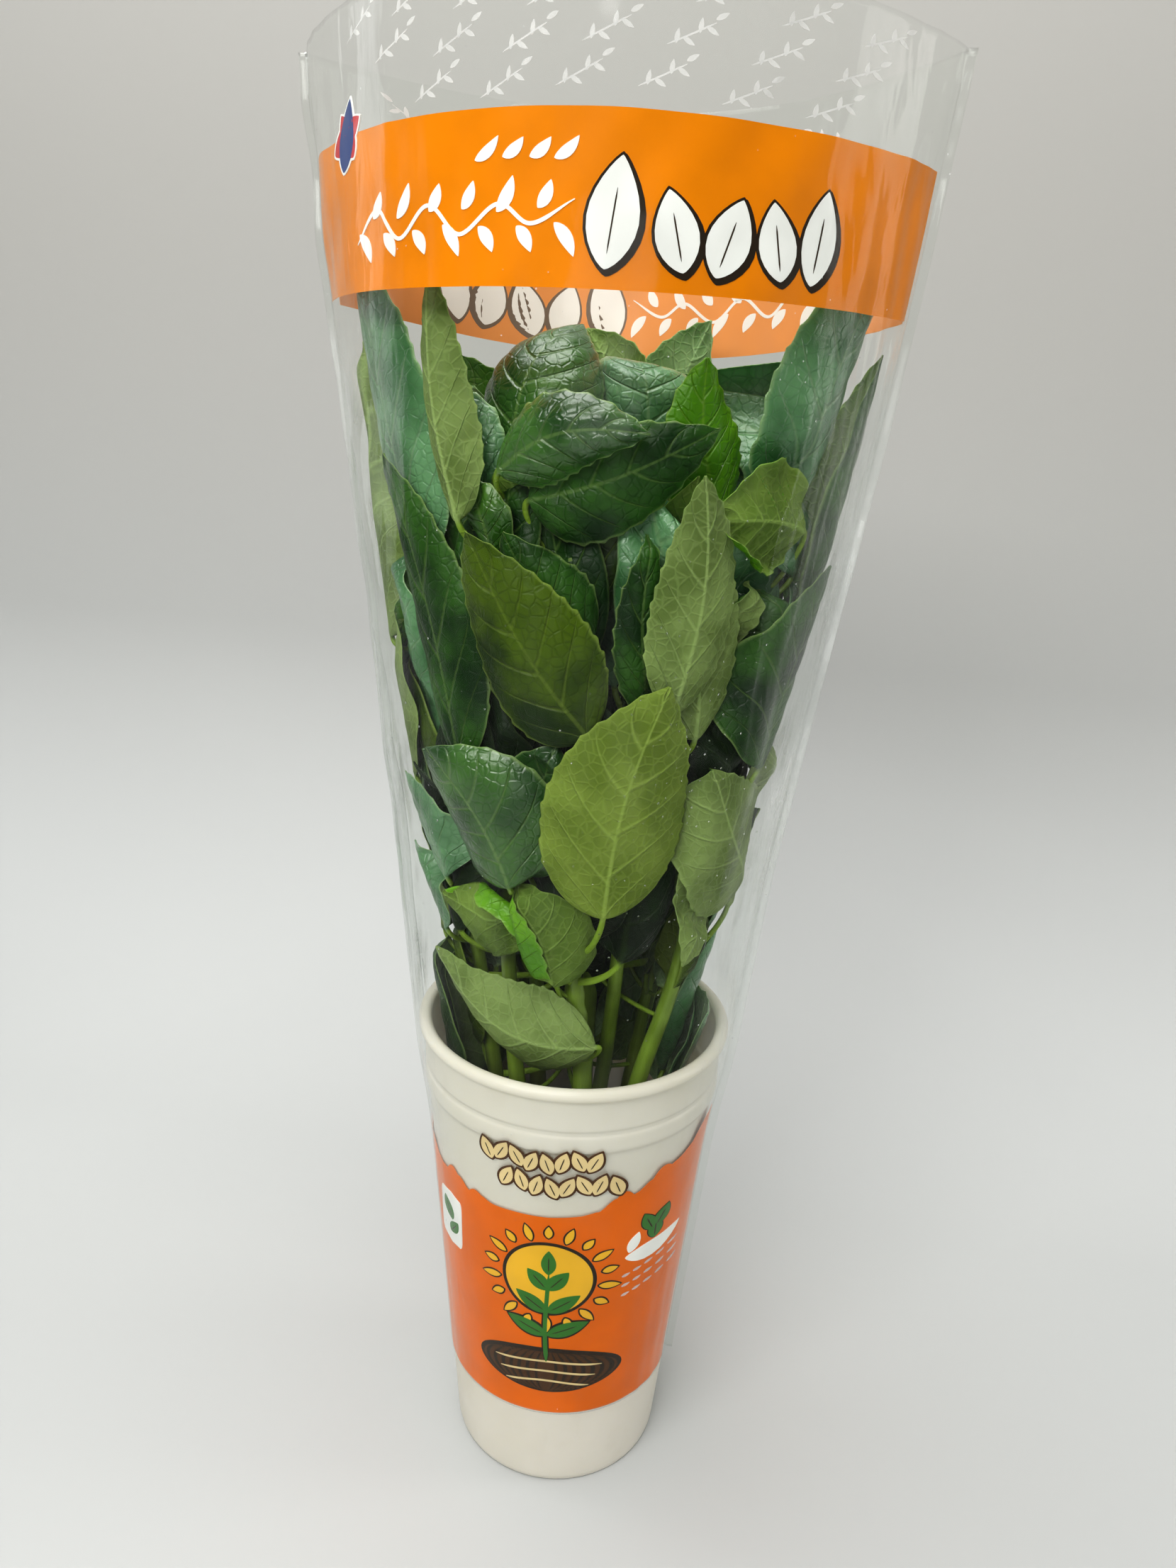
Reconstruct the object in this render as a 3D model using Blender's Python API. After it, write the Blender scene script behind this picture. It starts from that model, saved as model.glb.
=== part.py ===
"""A living bunch of basil in a tall white cup, inside a clear film sleeve.

Metres, +Z up. The origin is the middle of the cup's foot, on the surface it stands on.
-Y is the front. Azimuths are in degrees about +Z: 0 is the front, 90 is +X, 180 is the back.

The sleeve is two film panels sealed along both sides. The plants stand in a growing plug on a
mat of roots in the cup. Each stem is a tapered tube, and each leaf is one piece with its petiole:
a thin blade that follows the inside of the sleeve at a chosen inset, because the sleeve presses
the leaves upright. Leaves that cover each other lie one behind the other.
"""

import math
from typing import NamedTuple

import bpy
import numpy as np

MM = 0.001
GAP = 0.3 * MM

# Cup: a drawn plastic cup with a rolled lip, a straight band under it and a plain taper below.
CUP_HEIGHT = 168 * MM
LIP_RADIUS = 52 * MM
LIP_TUBE_RADIUS = 2.2 * MM
LIP_TURNS = np.linspace(150, -60, 8)
BAND_RADIUS = 49.8 * MM
BAND_BOTTOM_Z = 145 * MM
SHOULDER_RADIUS = 48.6 * MM
FOOT_RADIUS = 36.5 * MM
FOOT_RING_WIDTH = 4 * MM
FOOT_RECESS = 3 * MM
CUP_WALL = 1.2 * MM
CUP_INNER_CORNER = 1.5 * MM
SHOULDER_STEP = 1 * MM
FOOT_FLARE = 0.4 * MM
CUP_STEPS = 48

# Sleeve: the shape of its cross-section at several heights, from its bottom edge to its top edge.
SLEEVE_HEIGHTS = np.array([34, 160, 170, 225, 290, 350, 400, 450]) * MM
SLEEVE_HALF_WIDTH = np.array([41.0, 53.0, 53.0, 60.0, 69.0, 77.5, 83.0, 88.0]) * MM
SLEEVE_HALF_DEPTH = np.array([41.0, 53.0, 53.0, 57.5, 61.5, 64.0, 66.0, 68.0]) * MM
SLEEVE_POINTEDNESS = np.array([1.0, 1.0, 1.0, 1.05, 1.2, 1.4, 1.6, 1.8])
SEAL_WIDTH = 2.5 * MM
FILM_THICKNESS = 0.3 * MM
FILM_COLUMNS = 22

# Plug and roots, which the cup hides.
ROOT_BOTTOM_RADIUS = 32 * MM
ROOT_TOP_RADIUS = 35 * MM
ROOT_BOTTOM_Z = 5 * MM
ROOT_TOP_Z = 56 * MM
PLUG_BOTTOM_RADIUS = 25 * MM
PLUG_TOP_RADIUS = 33 * MM
PLUG_TOP_Z = 112 * MM
PLANT_EDGE = 3 * MM
PLANT_SEGMENTS = 20

# Leaves and stems. The petiole's thickness fades into the blade's over the first share of the midrib.
BLADE_THICKNESS = 0.5 * MM
BLADE_NEAR_POWER = 0.55
BLADE_FAR_POWER = 0.75
PETIOLE_THICKNESS = 1.1 * MM
PETIOLE_HALF_WIDTH = 0.9 * MM
PETIOLE_FADE = 0.25
TIP_HALF_WIDTH = 0.35 * MM
BLADE_ROWS = 6
BLADE_COLUMNS = 4
PETIOLE_ROWS = 3
PETIOLE_STEPS = 12
PETIOLE_SAG = 0.3
PETIOLE_CLEARANCE = 0.8 * MM
STEM_SEGMENT = 14 * MM
LAYER_GAP = 2.0 * MM
STIFF_HALF_WIDTH = 4 * MM

# The room that the leaves have inside the cup and the sleeve: half widths at several heights.
ROOM_HEIGHTS = np.array([0, 150, 168, 225, 350, 450]) * MM
ROOM_HALF_WIDTH = np.array([34, 46, 48, 57, 75, 85]) * MM
ROOM_HALF_DEPTH = np.array([34, 46, 48, 54, 60, 63]) * MM
ROOM_ROUNDNESS = np.array([2.0, 2.0, 2.0, 1.9, 1.65, 1.5])


class Finish(NamedTuple):
    """A material's colour, roughness and opacity."""

    name: str
    colour: tuple
    roughness: float
    alpha: float = 1.0


CUP_PLASTIC = Finish("cup_plastic", (0.72, 0.69, 0.64), 0.35)
CLEAR_FILM = Finish("clear_film", (0.9, 0.92, 0.92), 0.12, 0.25)
PEAT = Finish("peat", (0.07, 0.04, 0.02), 0.95)
ROOTS = Finish("roots", (0.55, 0.47, 0.34), 0.85)
STEM_GREEN = Finish("stem_green", (0.22, 0.36, 0.06), 0.45)
LEAF_UPPER = Finish("leaf_upper", (0.03, 0.11, 0.03), 0.35)
LEAF_UNDER = Finish("leaf_under", (0.17, 0.27, 0.10), 0.6)


class Stem(NamedTuple):
    """A stem by its places: each is (azimuth, distance from the axis in mm, height in mm).

    Its radii are in mm.
    """

    name: str
    places: tuple
    foot_radius: float
    top_radius: float


class Leaf(NamedTuple):
    """A leaf by the two ends of its blade: each is (azimuth, height in mm, inset in mm).

    The inset is how far the blade lies inside the room that the sleeve leaves. node_z is the
    height in mm at which it leaves its stem, width is its greatest width in mm, bow moves the
    middle of the midrib sideways by so many mm, and cup turns each edge inwards by so many degrees.
    """

    name: str
    stem: str
    node_z: float
    base: tuple
    tip: tuple
    width: float
    finish: Finish
    bow: float = 0.0
    cup: float = 30.0


STEMS = (
    Stem(
        name="stem_front",
        places=((22, 22, 113), (18, 28, 158), (9, 31, 196), (-4, 30, 250), (-7, 33, 333)),
        foot_radius=3.4,
        top_radius=1.5,
    ),
    Stem(
        name="stem_right",
        places=((48, 24, 113), (54, 32, 157), (68, 38, 197), (78, 42, 260), (80, 42, 325)),
        foot_radius=3.0,
        top_radius=1.4,
    ),
    Stem(
        name="stem_front_left",
        places=((-30, 20, 113), (-36, 27, 170), (-34, 33, 240), (-30, 36, 335)),
        foot_radius=3.0,
        top_radius=1.4,
    ),
    Stem(
        name="stem_left",
        places=((-80, 22, 113), (-82, 32, 180), (-76, 42, 250), (-72, 46, 316)),
        foot_radius=2.8,
        top_radius=1.3,
    ),
    Stem(
        name="stem_middle",
        places=((60, 5, 113), (50, 7, 200), (30, 10, 280), (20, 12, 328)),
        foot_radius=3.2,
        top_radius=1.5,
    ),
    Stem(
        name="stem_front_right",
        places=((44, 12, 113), (46, 20, 170), (38, 30, 230), (38, 34, 290), (44, 34, 330)),
        foot_radius=2.6,
        top_radius=1.2,
    ),
    Stem(
        name="stem_back_left",
        places=((-135, 20, 113), (-138, 30, 190), (-130, 36, 260), (-132, 38, 328)),
        foot_radius=3.0,
        top_radius=1.4,
    ),
    Stem(
        name="stem_back",
        places=((176, 18, 113), (180, 27, 190), (174, 32, 270), (178, 33, 337)),
        foot_radius=3.2,
        top_radius=1.4,
    ),
    Stem(
        name="stem_back_right",
        places=((126, 20, 113), (128, 32, 190), (122, 38, 260), (120, 42, 326)),
        foot_radius=2.8,
        top_radius=1.3,
    ),
)

UP = LEAF_UPPER
UNDER = LEAF_UNDER
LEAVES = (
    # Outermost first: each leaf that covers the same place as an earlier one lies behind it.
    Leaf("leaf_front_centre", "stem_front", 205, (19, 223, 6), (33, 292, 1.5), 48, UNDER, bow=3, cup=25),
    Leaf("leaf_front_tall", "stem_front_right", 272, (37, 284, 6), (37, 346, 1.5), 27, UNDER, bow=-4, cup=35),
    Leaf("leaf_left_pale", "stem_front_left", 321, (-33, 331, 6), (-38, 393, 2), 23, UNDER, bow=4, cup=60),
    Leaf("leaf_low_front", "stem_front", 166, (20, 182, 8), (-51, 203, 2), 34, UNDER, bow=8, cup=20),
    Leaf("leaf_left_centre", "stem_front", 262, (12, 276, 8), (-25, 329, 2), 38, UP, bow=3, cup=25),
    Leaf("leaf_right_low", "stem_right", 212, (85, 224, 6), (46, 266, 2), 36, UNDER, bow=4, cup=20),
    Leaf("leaf_right_hanging", "stem_right", 246, (70, 242, 10), (49, 205, 2), 26, UNDER, bow=3, cup=20),
    Leaf("leaf_left_fan", "stem_front_left", 226, (-18, 235, 7), (-50, 264, 2), 30, UP, bow=-4, cup=25),
    Leaf("leaf_small_front", "stem_front", 182, (1, 196, 10), (-14, 229, 4), 23, UNDER, bow=-3, cup=60),
    Leaf("leaf_crossing_top", "stem_front_left", 334, (-21, 344, 10), (23, 355, 4), 24, UP, bow=5, cup=40),
    Leaf("leaf_right_curled", "stem_right", 308, (79, 331, 9), (44, 334, 5), 29, UNDER, bow=-2, cup=60),
    Leaf("leaf_tall_twin", "stem_front_right", 260, (50, 274, 11), (51, 330, 6), 26, UNDER, bow=2, cup=25),
    Leaf("leaf_left_long", "stem_front_left", 250, (-38, 262, 8), (-63, 346, 4), 32, UP, bow=-3, cup=20),
    Leaf("leaf_left_tall", "stem_left", 302, (-56, 316, 10), (-76, 404, 4), 42, UP, bow=3, cup=20),
    Leaf("leaf_right_long", "stem_right", 250, (71, 263, 9), (84, 321, 5), 40, UP, bow=2, cup=20),
    Leaf("leaf_small_left", "stem_front", 190, (-12, 208, 10), (-46, 219, 5), 23, UNDER, bow=-3, cup=60),
    Leaf("leaf_crossing_dark", "stem_front", 322, (-14, 337, 16), (44, 357, 8), 30, UP, bow=-3),
    Leaf("leaf_left_edge", "stem_left", 288, (-82, 302, 6), (-88, 352, 1), 28, UNDER, bow=3, cup=10),
    Leaf("leaf_right_edge", "stem_right", 294, (95, 307, 5), (92, 378, 1), 28, UP, bow=-3, cup=10),
    Leaf("leaf_right_tall", "stem_right", 322, (77, 340, 15), (86, 404, 4), 30, UP, bow=4, cup=20),
    Leaf("leaf_tall_shadow", "stem_front_right", 260, (29, 280, 13), (22, 330, 10), 22, UP, bow=3),
    Leaf("leaf_right_fan", "stem_front", 216, (-9, 230, 12), (10, 270, 8), 30, UP, bow=3, cup=35),
    Leaf("leaf_middle_left", "stem_front", 290, (10, 301, 14), (-19, 329, 9), 26, UP, bow=3, cup=35),
    Leaf("leaf_left_folded", "stem_front_left", 308, (-28, 323, 13), (-38, 341, 8), 17, UP, bow=-3, cup=50),
    Leaf("leaf_small_curled", "stem_front_right", 286, (60, 296, 13), (70, 317, 9), 14, UNDER, bow=3, cup=50),
    Leaf("leaf_quilted_left", "stem_left", 306, (-38, 337, 20), (-57, 362, 14), 20, UP, bow=-3, cup=50),
    Leaf("leaf_backlit", "stem_front_right", 322, (58, 335, 20), (46, 374, 18), 24, UP, bow=3, cup=25),
    Leaf("leaf_upper_dark", "stem_front_left", 322, (-31, 348, 26), (-22, 388, 22), 48, UP, bow=0, cup=45),
    Leaf("leaf_low_left", "stem_left", 212, (-54, 222, 9), (-76, 250, 3), 26, UP, bow=-2, cup=20),
    Leaf("leaf_low_left_edge", "stem_left", 190, (-66, 200, 9), (-84, 224, 2), 22, UP, bow=-2, cup=20),
    Leaf("leaf_domed", "stem_middle", 318, (40, 346, 44), (40, 382, 30), 34, UP, bow=2, cup=40),
    Leaf("leaf_quilted_right", "stem_right", 322, (92, 340, 22), (72, 368, 20), 24, UP, bow=1, cup=30),
    Leaf("leaf_in_cup", "stem_back_right", 146, (122, 150, 8), (78, 178, 3), 34, UP, bow=2, cup=25),
    # The back of the bunch.
    Leaf("leaf_back_centre", "stem_back", 250, (182, 264, 6), (170, 330, 2), 40, UNDER, bow=3, cup=25),
    Leaf("leaf_back_high", "stem_back", 326, (170, 340, 8), (150, 388, 3), 34, UP, bow=-4, cup=35),
    Leaf("leaf_back_left_high", "stem_back_left", 310, (-140, 322, 8), (-116, 376, 3), 34, UNDER, bow=4),
    Leaf("leaf_back_left_mid", "stem_back_left", 240, (-136, 252, 8), (-152, 312, 3), 38, UP, bow=-3),
    Leaf("leaf_back_left_side", "stem_back_left", 256, (-122, 268, 8), (-98, 322, 3), 32, UP, bow=3),
    Leaf("leaf_back_right_high", "stem_back_right", 308, (126, 320, 8), (112, 372, 3), 34, UNDER, bow=-3),
    Leaf("leaf_back_right_mid", "stem_back_right", 240, (131, 252, 8), (151, 306, 3), 35, UP, bow=3),
    Leaf("leaf_back_right_side", "stem_back_right", 244, (113, 255, 9), (104, 302, 5), 27, UP, bow=-3),
    Leaf("leaf_back_low", "stem_back", 196, (184, 206, 8), (168, 258, 3), 36, UP, bow=3),
    Leaf("leaf_back_left_low", "stem_back_left", 192, (-138, 200, 8), (-112, 246, 3), 30, UNDER, bow=3),
    Leaf("leaf_back_right_low", "stem_back_right", 190, (120, 200, 8), (100, 242, 3), 28, UNDER, bow=-3),
    Leaf("leaf_back_left_top", "stem_back_left", 322, (-150, 338, 16), (-172, 384, 12), 32, UP, bow=3, cup=40),
    Leaf("leaf_back_crown", "stem_back", 334, (176, 352, 28), (200, 384, 22), 30, UP, bow=2, cup=45),
)


def azimuth_point(azimuth, radius, z):
    """World point at an azimuth in degrees, a distance from the axis and a height."""
    angle = np.radians(azimuth)
    return np.stack(np.broadcast_arrays(radius * np.sin(angle), -radius * np.cos(angle), z), axis=-1)


def room_radius(azimuth, z):
    """How far from the axis the leaves may reach: a superellipse, round in the cup, lens-like above."""
    half_width = np.interp(z, ROOM_HEIGHTS, ROOM_HALF_WIDTH)
    half_depth = np.interp(z, ROOM_HEIGHTS, ROOM_HALF_DEPTH)
    power = np.interp(z, ROOM_HEIGHTS, ROOM_ROUNDNESS)
    angle = np.radians(azimuth)
    aside = np.abs(np.sin(angle) / half_width) ** power
    ahead = np.abs(np.cos(angle) / half_depth) ** power
    return (aside + ahead) ** (-1 / power)


# ---------------------------------------------------------------- leaves and stems as numbers

FINE_ROWS = 60
FINE_COLUMNS = 32
MAP_AZIMUTHS = 180
MAP_STEP_Z = 2 * MM
MAP_ROWS = 240
SMOOTHING_ROUNDS = 10


def stem_path(stem, count=60):
    """Points along a stem: a smooth curve through its places, read at even parameters."""
    places = np.array(stem.places, float)
    knots = azimuth_point(places[:, 0], places[:, 1] * MM, places[:, 2] * MM)
    ends = np.concatenate([[2 * knots[0] - knots[1]], knots, [2 * knots[-1] - knots[-2]]])
    spans = len(knots) - 1
    at = np.linspace(0, spans, count)
    span = np.minimum(at.astype(int), spans - 1)
    t = (at - span)[:, None]
    before, start, end, after = (ends[span + k] for k in range(4))
    return 0.5 * (2 * start + (end - before) * t + (2 * before - 5 * start + 4 * end - after) * t**2
                  + (3 * start - before - 3 * end + after) * t**3)


def stem_radius(stem, share):
    """A stem's radius, tapering evenly from its foot to its top."""
    return (stem.foot_radius + (stem.top_radius - stem.foot_radius) * share) * MM


def blade_half_width(u):
    """Share of the greatest half width at u from base 0 to tip 1: an egg shape with a point.

    It is u^a (1 - u)^b over its own greatest value, which it has at u = a / (a + b).
    """
    widest = BLADE_NEAR_POWER / (BLADE_NEAR_POWER + BLADE_FAR_POWER)
    most = widest**BLADE_NEAR_POWER * (1 - widest) ** BLADE_FAR_POWER
    return np.power(u, BLADE_NEAR_POWER) * np.power(1 - u, BLADE_FAR_POWER) / most


def smoothed(field):
    """Each value's mean with its four neighbours."""
    padded = np.pad(field, 1, mode="edge")
    return (field + padded[:-2, 1:-1] + padded[2:, 1:-1] + padded[1:-1, :-2] + padded[1:-1, 2:]) / 5


def blade_surface(leaf, deepest):
    """Azimuth, height and inset of a blade on a fine grid, laid behind what the map already holds.

    The blade is drawn on the unrolled wall of the sleeve, then bent along and across. deepest holds
    the greatest inset so far in each cell of azimuth and height, and takes this blade's as well.
    """
    u = np.linspace(0, 1, FINE_ROWS + 1)[:, None]
    v = np.linspace(-1, 1, FINE_COLUMNS + 1)[None, :]
    (azimuth_0, z_0, inset_0), (azimuth_1, z_1, inset_1) = leaf.base, leaf.tip
    middle = 0.5 * (azimuth_0 + azimuth_1)
    radius = room_radius(middle, 0.5 * (z_0 + z_1) * MM) - 0.5 * (inset_0 + inset_1) * MM
    along = np.array([math.radians(azimuth_1 - azimuth_0) * radius, (z_1 - z_0) * MM])
    length = float(np.hypot(*along))
    forward = along / length
    side = np.array([-forward[1], forward[0]])
    bend = leaf.bow * MM
    slope = bend * math.pi * np.cos(math.pi * u) / length
    across = np.hypot(1, slope)
    half = 0.5 * leaf.width * MM * blade_half_width(u)
    half = np.maximum(half, np.where(u < 0.5, PETIOLE_HALF_WIDTH, TIP_HALF_WIDTH))
    turn = math.radians(leaf.cup)
    out = half * np.sin(turn * v) / turn
    deep = half * (1 - np.cos(turn * v)) / turn
    run = u * length - out * slope / across
    off = bend * np.sin(math.pi * u) + out / across
    start = math.radians(azimuth_0) * radius
    azimuth = np.degrees((start + run * forward[0] + off * side[0]) / radius)
    z = z_0 * MM + run * forward[1] + off * side[1]
    inset = (inset_0 + (inset_1 - inset_0) * u) * MM + deep
    inset = behind_the_others(azimuth, z, inset, half, deepest)
    return azimuth, z, inset


def behind_the_others(azimuth, z, inset, half, deepest):
    """Insets pushed in where the map holds earlier leaves, and the map brought up to date.

    A row across the blade moves as one where the blade is narrow, as at its tip and its base.
    """
    column = np.floor(azimuth * MAP_AZIMUTHS / 360).astype(int)
    row = np.clip((z / MAP_STEP_Z).astype(int), 1, MAP_ROWS - 2)
    push = np.zeros_like(inset)
    for down in (-1, 0, 1):
        for aside in (-1, 0, 1):
            needed = deepest[row + down, (column + aside) % MAP_AZIMUTHS] + LAYER_GAP
            push = np.maximum(push, needed - inset)
    spread = push
    for _ in range(SMOOTHING_ROUNDS):
        spread = np.maximum(push, smoothed(spread))
    stiffness = np.clip(1 - half / STIFF_HALF_WIDTH, 0, 1)
    inset = inset + spread + stiffness * (spread.max(axis=1, keepdims=True) - spread)
    np.maximum.at(deepest, (row, column % MAP_AZIMUTHS), inset)
    return inset


def petiole_lattice(start, outward, base, tangent, across, columns):
    """A petiole's middle surface: a ribbon along a cubic curve from its stem to its blade's base.

    It leaves the stem outwards and arrives along the midrib. The ribbon's direction across is
    carried back from the blade along the curve, and stays square to it.
    """
    reach = np.linalg.norm(base - start) * PETIOLE_SAG
    t = np.linspace(0, 1, PETIOLE_STEPS + 1)[:, None]
    spine = ((1 - t) ** 3 * start + 3 * (1 - t) ** 2 * t * (start + outward * reach)
             + 3 * (1 - t) * t**2 * (base - tangent * reach) + t**3 * base)
    along = np.gradient(spine, axis=0)
    along /= np.linalg.norm(along, axis=1, keepdims=True)
    sideways = []
    for direction in along[::-1]:
        across = across - direction * (across @ direction)
        across = across / np.linalg.norm(across)
        sideways.insert(0, across)
    v = np.linspace(-1, 1, columns + 1)[None, :, None]
    return spine[:, None, :] + PETIOLE_HALF_WIDTH * v * np.array(sideways)[:, None, :]


def leaf_lattice(leaf, stem, deepest, rows, columns):
    """Middle surface of a leaf from its stem to its tip, and its half thickness at each row."""
    azimuth, z, inset = blade_surface(leaf, deepest)
    blade = azimuth_point(azimuth, room_radius(azimuth, z) - inset, z)
    blade = blade[:: FINE_ROWS // rows, :: FINE_COLUMNS // columns]
    path = stem_path(stem)
    nearest = int(np.argmin(np.abs(path[:, 2] - leaf.node_z * MM)))
    centre = path[nearest]
    base = blade[0, columns // 2]
    tangent = blade[1, columns // 2] - base
    tangent /= np.linalg.norm(tangent)
    outward = (base - centre) * (1, 1, 0)
    outward /= np.linalg.norm(outward)
    start = centre + outward * (stem_radius(stem, nearest / (len(path) - 1)) + PETIOLE_CLEARANCE)
    petiole = petiole_lattice(start, outward, base, tangent, blade[0, -1] - blade[0, 0], columns)
    petiole = petiole[: -1 : PETIOLE_STEPS // PETIOLE_ROWS]
    share = np.linspace(0, 1, rows + 1)
    thickness = np.interp(share, (0, PETIOLE_FADE), (PETIOLE_THICKNESS, BLADE_THICKNESS))
    thickness = np.concatenate([np.full(PETIOLE_ROWS, PETIOLE_THICKNESS), thickness])
    return np.concatenate([petiole, blade]), 0.5 * thickness


# ---------------------------------------------------------------- meshes


def material(finish):
    """The finish's material, made once and then shared."""
    made = bpy.data.materials.get(finish.name)
    if made:
        return made
    made = bpy.data.materials.new(finish.name)
    made.use_nodes = True
    shader = made.node_tree.nodes["Principled BSDF"]
    shader.inputs["Base Color"].default_value = (*finish.colour, 1)
    shader.inputs["Roughness"].default_value = finish.roughness
    shader.inputs["Metallic"].default_value = 0
    shader.inputs["Alpha"].default_value = finish.alpha
    made.diffuse_color = (*finish.colour, finish.alpha)
    return made


def add_object(name, data, finish):
    """Put a mesh or curve in the scene under a node's name, with its finish."""
    data.materials.append(material(finish))
    piece = bpy.data.objects.new(name, data)
    bpy.context.scene.collection.objects.link(piece)
    return piece


def mesh_object(name, points, faces, finish):
    """A mesh piece, shaded smooth but for its sharp edges."""
    mesh = bpy.data.meshes.new(name)
    mesh.from_pydata([tuple(point) for point in points], [], faces)
    mesh.shade_smooth()
    mesh.set_sharp_from_angle(angle=math.radians(40))
    return add_object(name, mesh, finish)


def lattice_normals(lattice):
    """Unit normals of a grid of points, from the differences between neighbours."""
    normals = np.cross(np.gradient(lattice, axis=0), np.gradient(lattice, axis=1))
    return normals / np.linalg.norm(normals, axis=-1, keepdims=True)


def shell(name, lattice, half_thickness, finish):
    """A closed thin piece about a grid of points: both sides, and a rim round its edge."""
    rows, columns = lattice.shape[:2]
    offset = lattice_normals(lattice) * half_thickness
    points = np.concatenate([(lattice + offset).reshape(-1, 3), (lattice - offset).reshape(-1, 3)])
    index = np.arange(rows * columns).reshape(rows, columns)
    under = rows * columns
    corners = np.stack([index[:-1, :-1], index[1:, :-1], index[1:, 1:], index[:-1, 1:]], axis=-1)
    faces = [tuple(corner) for corner in corners.reshape(-1, 4).tolist()]
    faces += [tuple(i + under for i in reversed(corner)) for corner in faces]
    rim = np.concatenate([index[0, :-1], index[:-1, -1], index[-1, :0:-1], index[:0:-1, 0]])
    pairs = zip(rim.tolist(), np.roll(rim, -1).tolist())
    faces += [(start, end, end + under, start + under) for start, end in pairs]
    return mesh_object(name, points, faces, finish)


def turned(name, profile, steps, finish):
    """A closed piece turned about +Z from a profile of (radius, height) that runs from axis to axis."""
    mesh = bpy.data.meshes.new(name)
    edges = [(i, i + 1) for i in range(len(profile) - 1)]
    mesh.from_pydata([(float(radius), 0, float(z)) for radius, z in profile], edges, [])
    piece = add_object(name, mesh, finish)
    screw = piece.modifiers.new("turn", "SCREW")
    screw.steps = screw.render_steps = steps
    screw.use_merge_vertices = True
    screw.merge_threshold = 1e-5
    screw.use_smooth_shade = True
    return piece


def make_cup():
    """Cup: inner floor, inner wall, rolled lip, straight band, shoulder, taper, foot ring, recess."""
    floor_z = FOOT_RECESS + CUP_WALL
    lip_z = CUP_HEIGHT - LIP_TUBE_RADIUS
    lip_centre = LIP_RADIUS - LIP_TUBE_RADIUS
    turns = np.radians(LIP_TURNS)
    lip = zip(lip_centre + LIP_TUBE_RADIUS * np.cos(turns), lip_z + LIP_TUBE_RADIUS * np.sin(turns))
    wall_inside = BAND_RADIUS - CUP_WALL
    profile = [
        (0, floor_z),
        (FOOT_RADIUS - CUP_WALL - CUP_INNER_CORNER, floor_z),
        (FOOT_RADIUS - CUP_WALL, floor_z + CUP_INNER_CORNER),
        (SHOULDER_RADIUS - CUP_WALL, BAND_BOTTOM_Z - SHOULDER_STEP),
        (wall_inside, BAND_BOTTOM_Z),
        (wall_inside, lip_z - LIP_TUBE_RADIUS),
        *lip,
        (BAND_RADIUS, lip_z - 1.2 * LIP_TUBE_RADIUS),
        (BAND_RADIUS, BAND_BOTTOM_Z),
        (SHOULDER_RADIUS, BAND_BOTTOM_Z - SHOULDER_STEP),
        (FOOT_RADIUS + FOOT_FLARE, FOOT_RECESS),
        (FOOT_RADIUS, 0),
        (FOOT_RADIUS - FOOT_RING_WIDTH, 0),
        (FOOT_RADIUS - FOOT_RING_WIDTH - FOOT_FLARE, FOOT_RECESS),
        (0, FOOT_RECESS),
    ]
    return turned("cup", profile, CUP_STEPS, CUP_PLASTIC)


def make_plug_and_roots():
    """The growing plug stands on the mat of roots, which fills the bottom of the cup."""
    edge = PLANT_EDGE
    turned("root_mat", [
        (0, ROOT_TOP_Z),
        (ROOT_TOP_RADIUS - edge, ROOT_TOP_Z),
        (ROOT_TOP_RADIUS, ROOT_TOP_Z - edge),
        (ROOT_BOTTOM_RADIUS, ROOT_BOTTOM_Z + edge),
        (ROOT_BOTTOM_RADIUS - edge, ROOT_BOTTOM_Z),
        (0, ROOT_BOTTOM_Z),
    ], PLANT_SEGMENTS, ROOTS)
    turned("growing_plug", [
        (0, PLUG_TOP_Z),
        (PLUG_TOP_RADIUS - edge, PLUG_TOP_Z),
        (PLUG_TOP_RADIUS, PLUG_TOP_Z - edge),
        (PLUG_BOTTOM_RADIUS, ROOT_TOP_Z + GAP + edge),
        (PLUG_BOTTOM_RADIUS - edge, ROOT_TOP_Z + GAP),
        (0, ROOT_TOP_Z + GAP),
    ], PLANT_SEGMENTS, PEAT)


def film_lattice(facing):
    """Middle surface of one film panel: facing is -1 for the front and 1 for the back.

    Across the panel the section is x = A sin p, y = B cos^n p, then the flat seal beyond each end.
    """
    angle = 0.5 * math.pi * np.concatenate([[-1], np.linspace(-1, 1, FILM_COLUMNS - 1), [1]])
    seal = np.concatenate([[-SEAL_WIDTH], np.zeros(FILM_COLUMNS - 1), [SEAL_WIDTH]])
    x = SLEEVE_HALF_WIDTH[:, None] * np.sin(angle) + seal
    bulge = SLEEVE_HALF_DEPTH[:, None] * np.abs(np.cos(angle)) ** SLEEVE_POINTEDNESS[:, None]
    y = facing * (bulge + 0.5 * (FILM_THICKNESS + GAP))
    return np.stack(np.broadcast_arrays(x, y, SLEEVE_HEIGHTS[:, None]), axis=-1)


def make_sleeve():
    """Two film panels, face to face along the side seals."""
    for name, facing in (("sleeve_front_film", -1), ("sleeve_back_film", 1)):
        lattice = film_lattice(facing)
        if facing > 0:
            lattice = lattice[:, ::-1]
        shell(name, lattice, 0.5 * FILM_THICKNESS, CLEAR_FILM)


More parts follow.
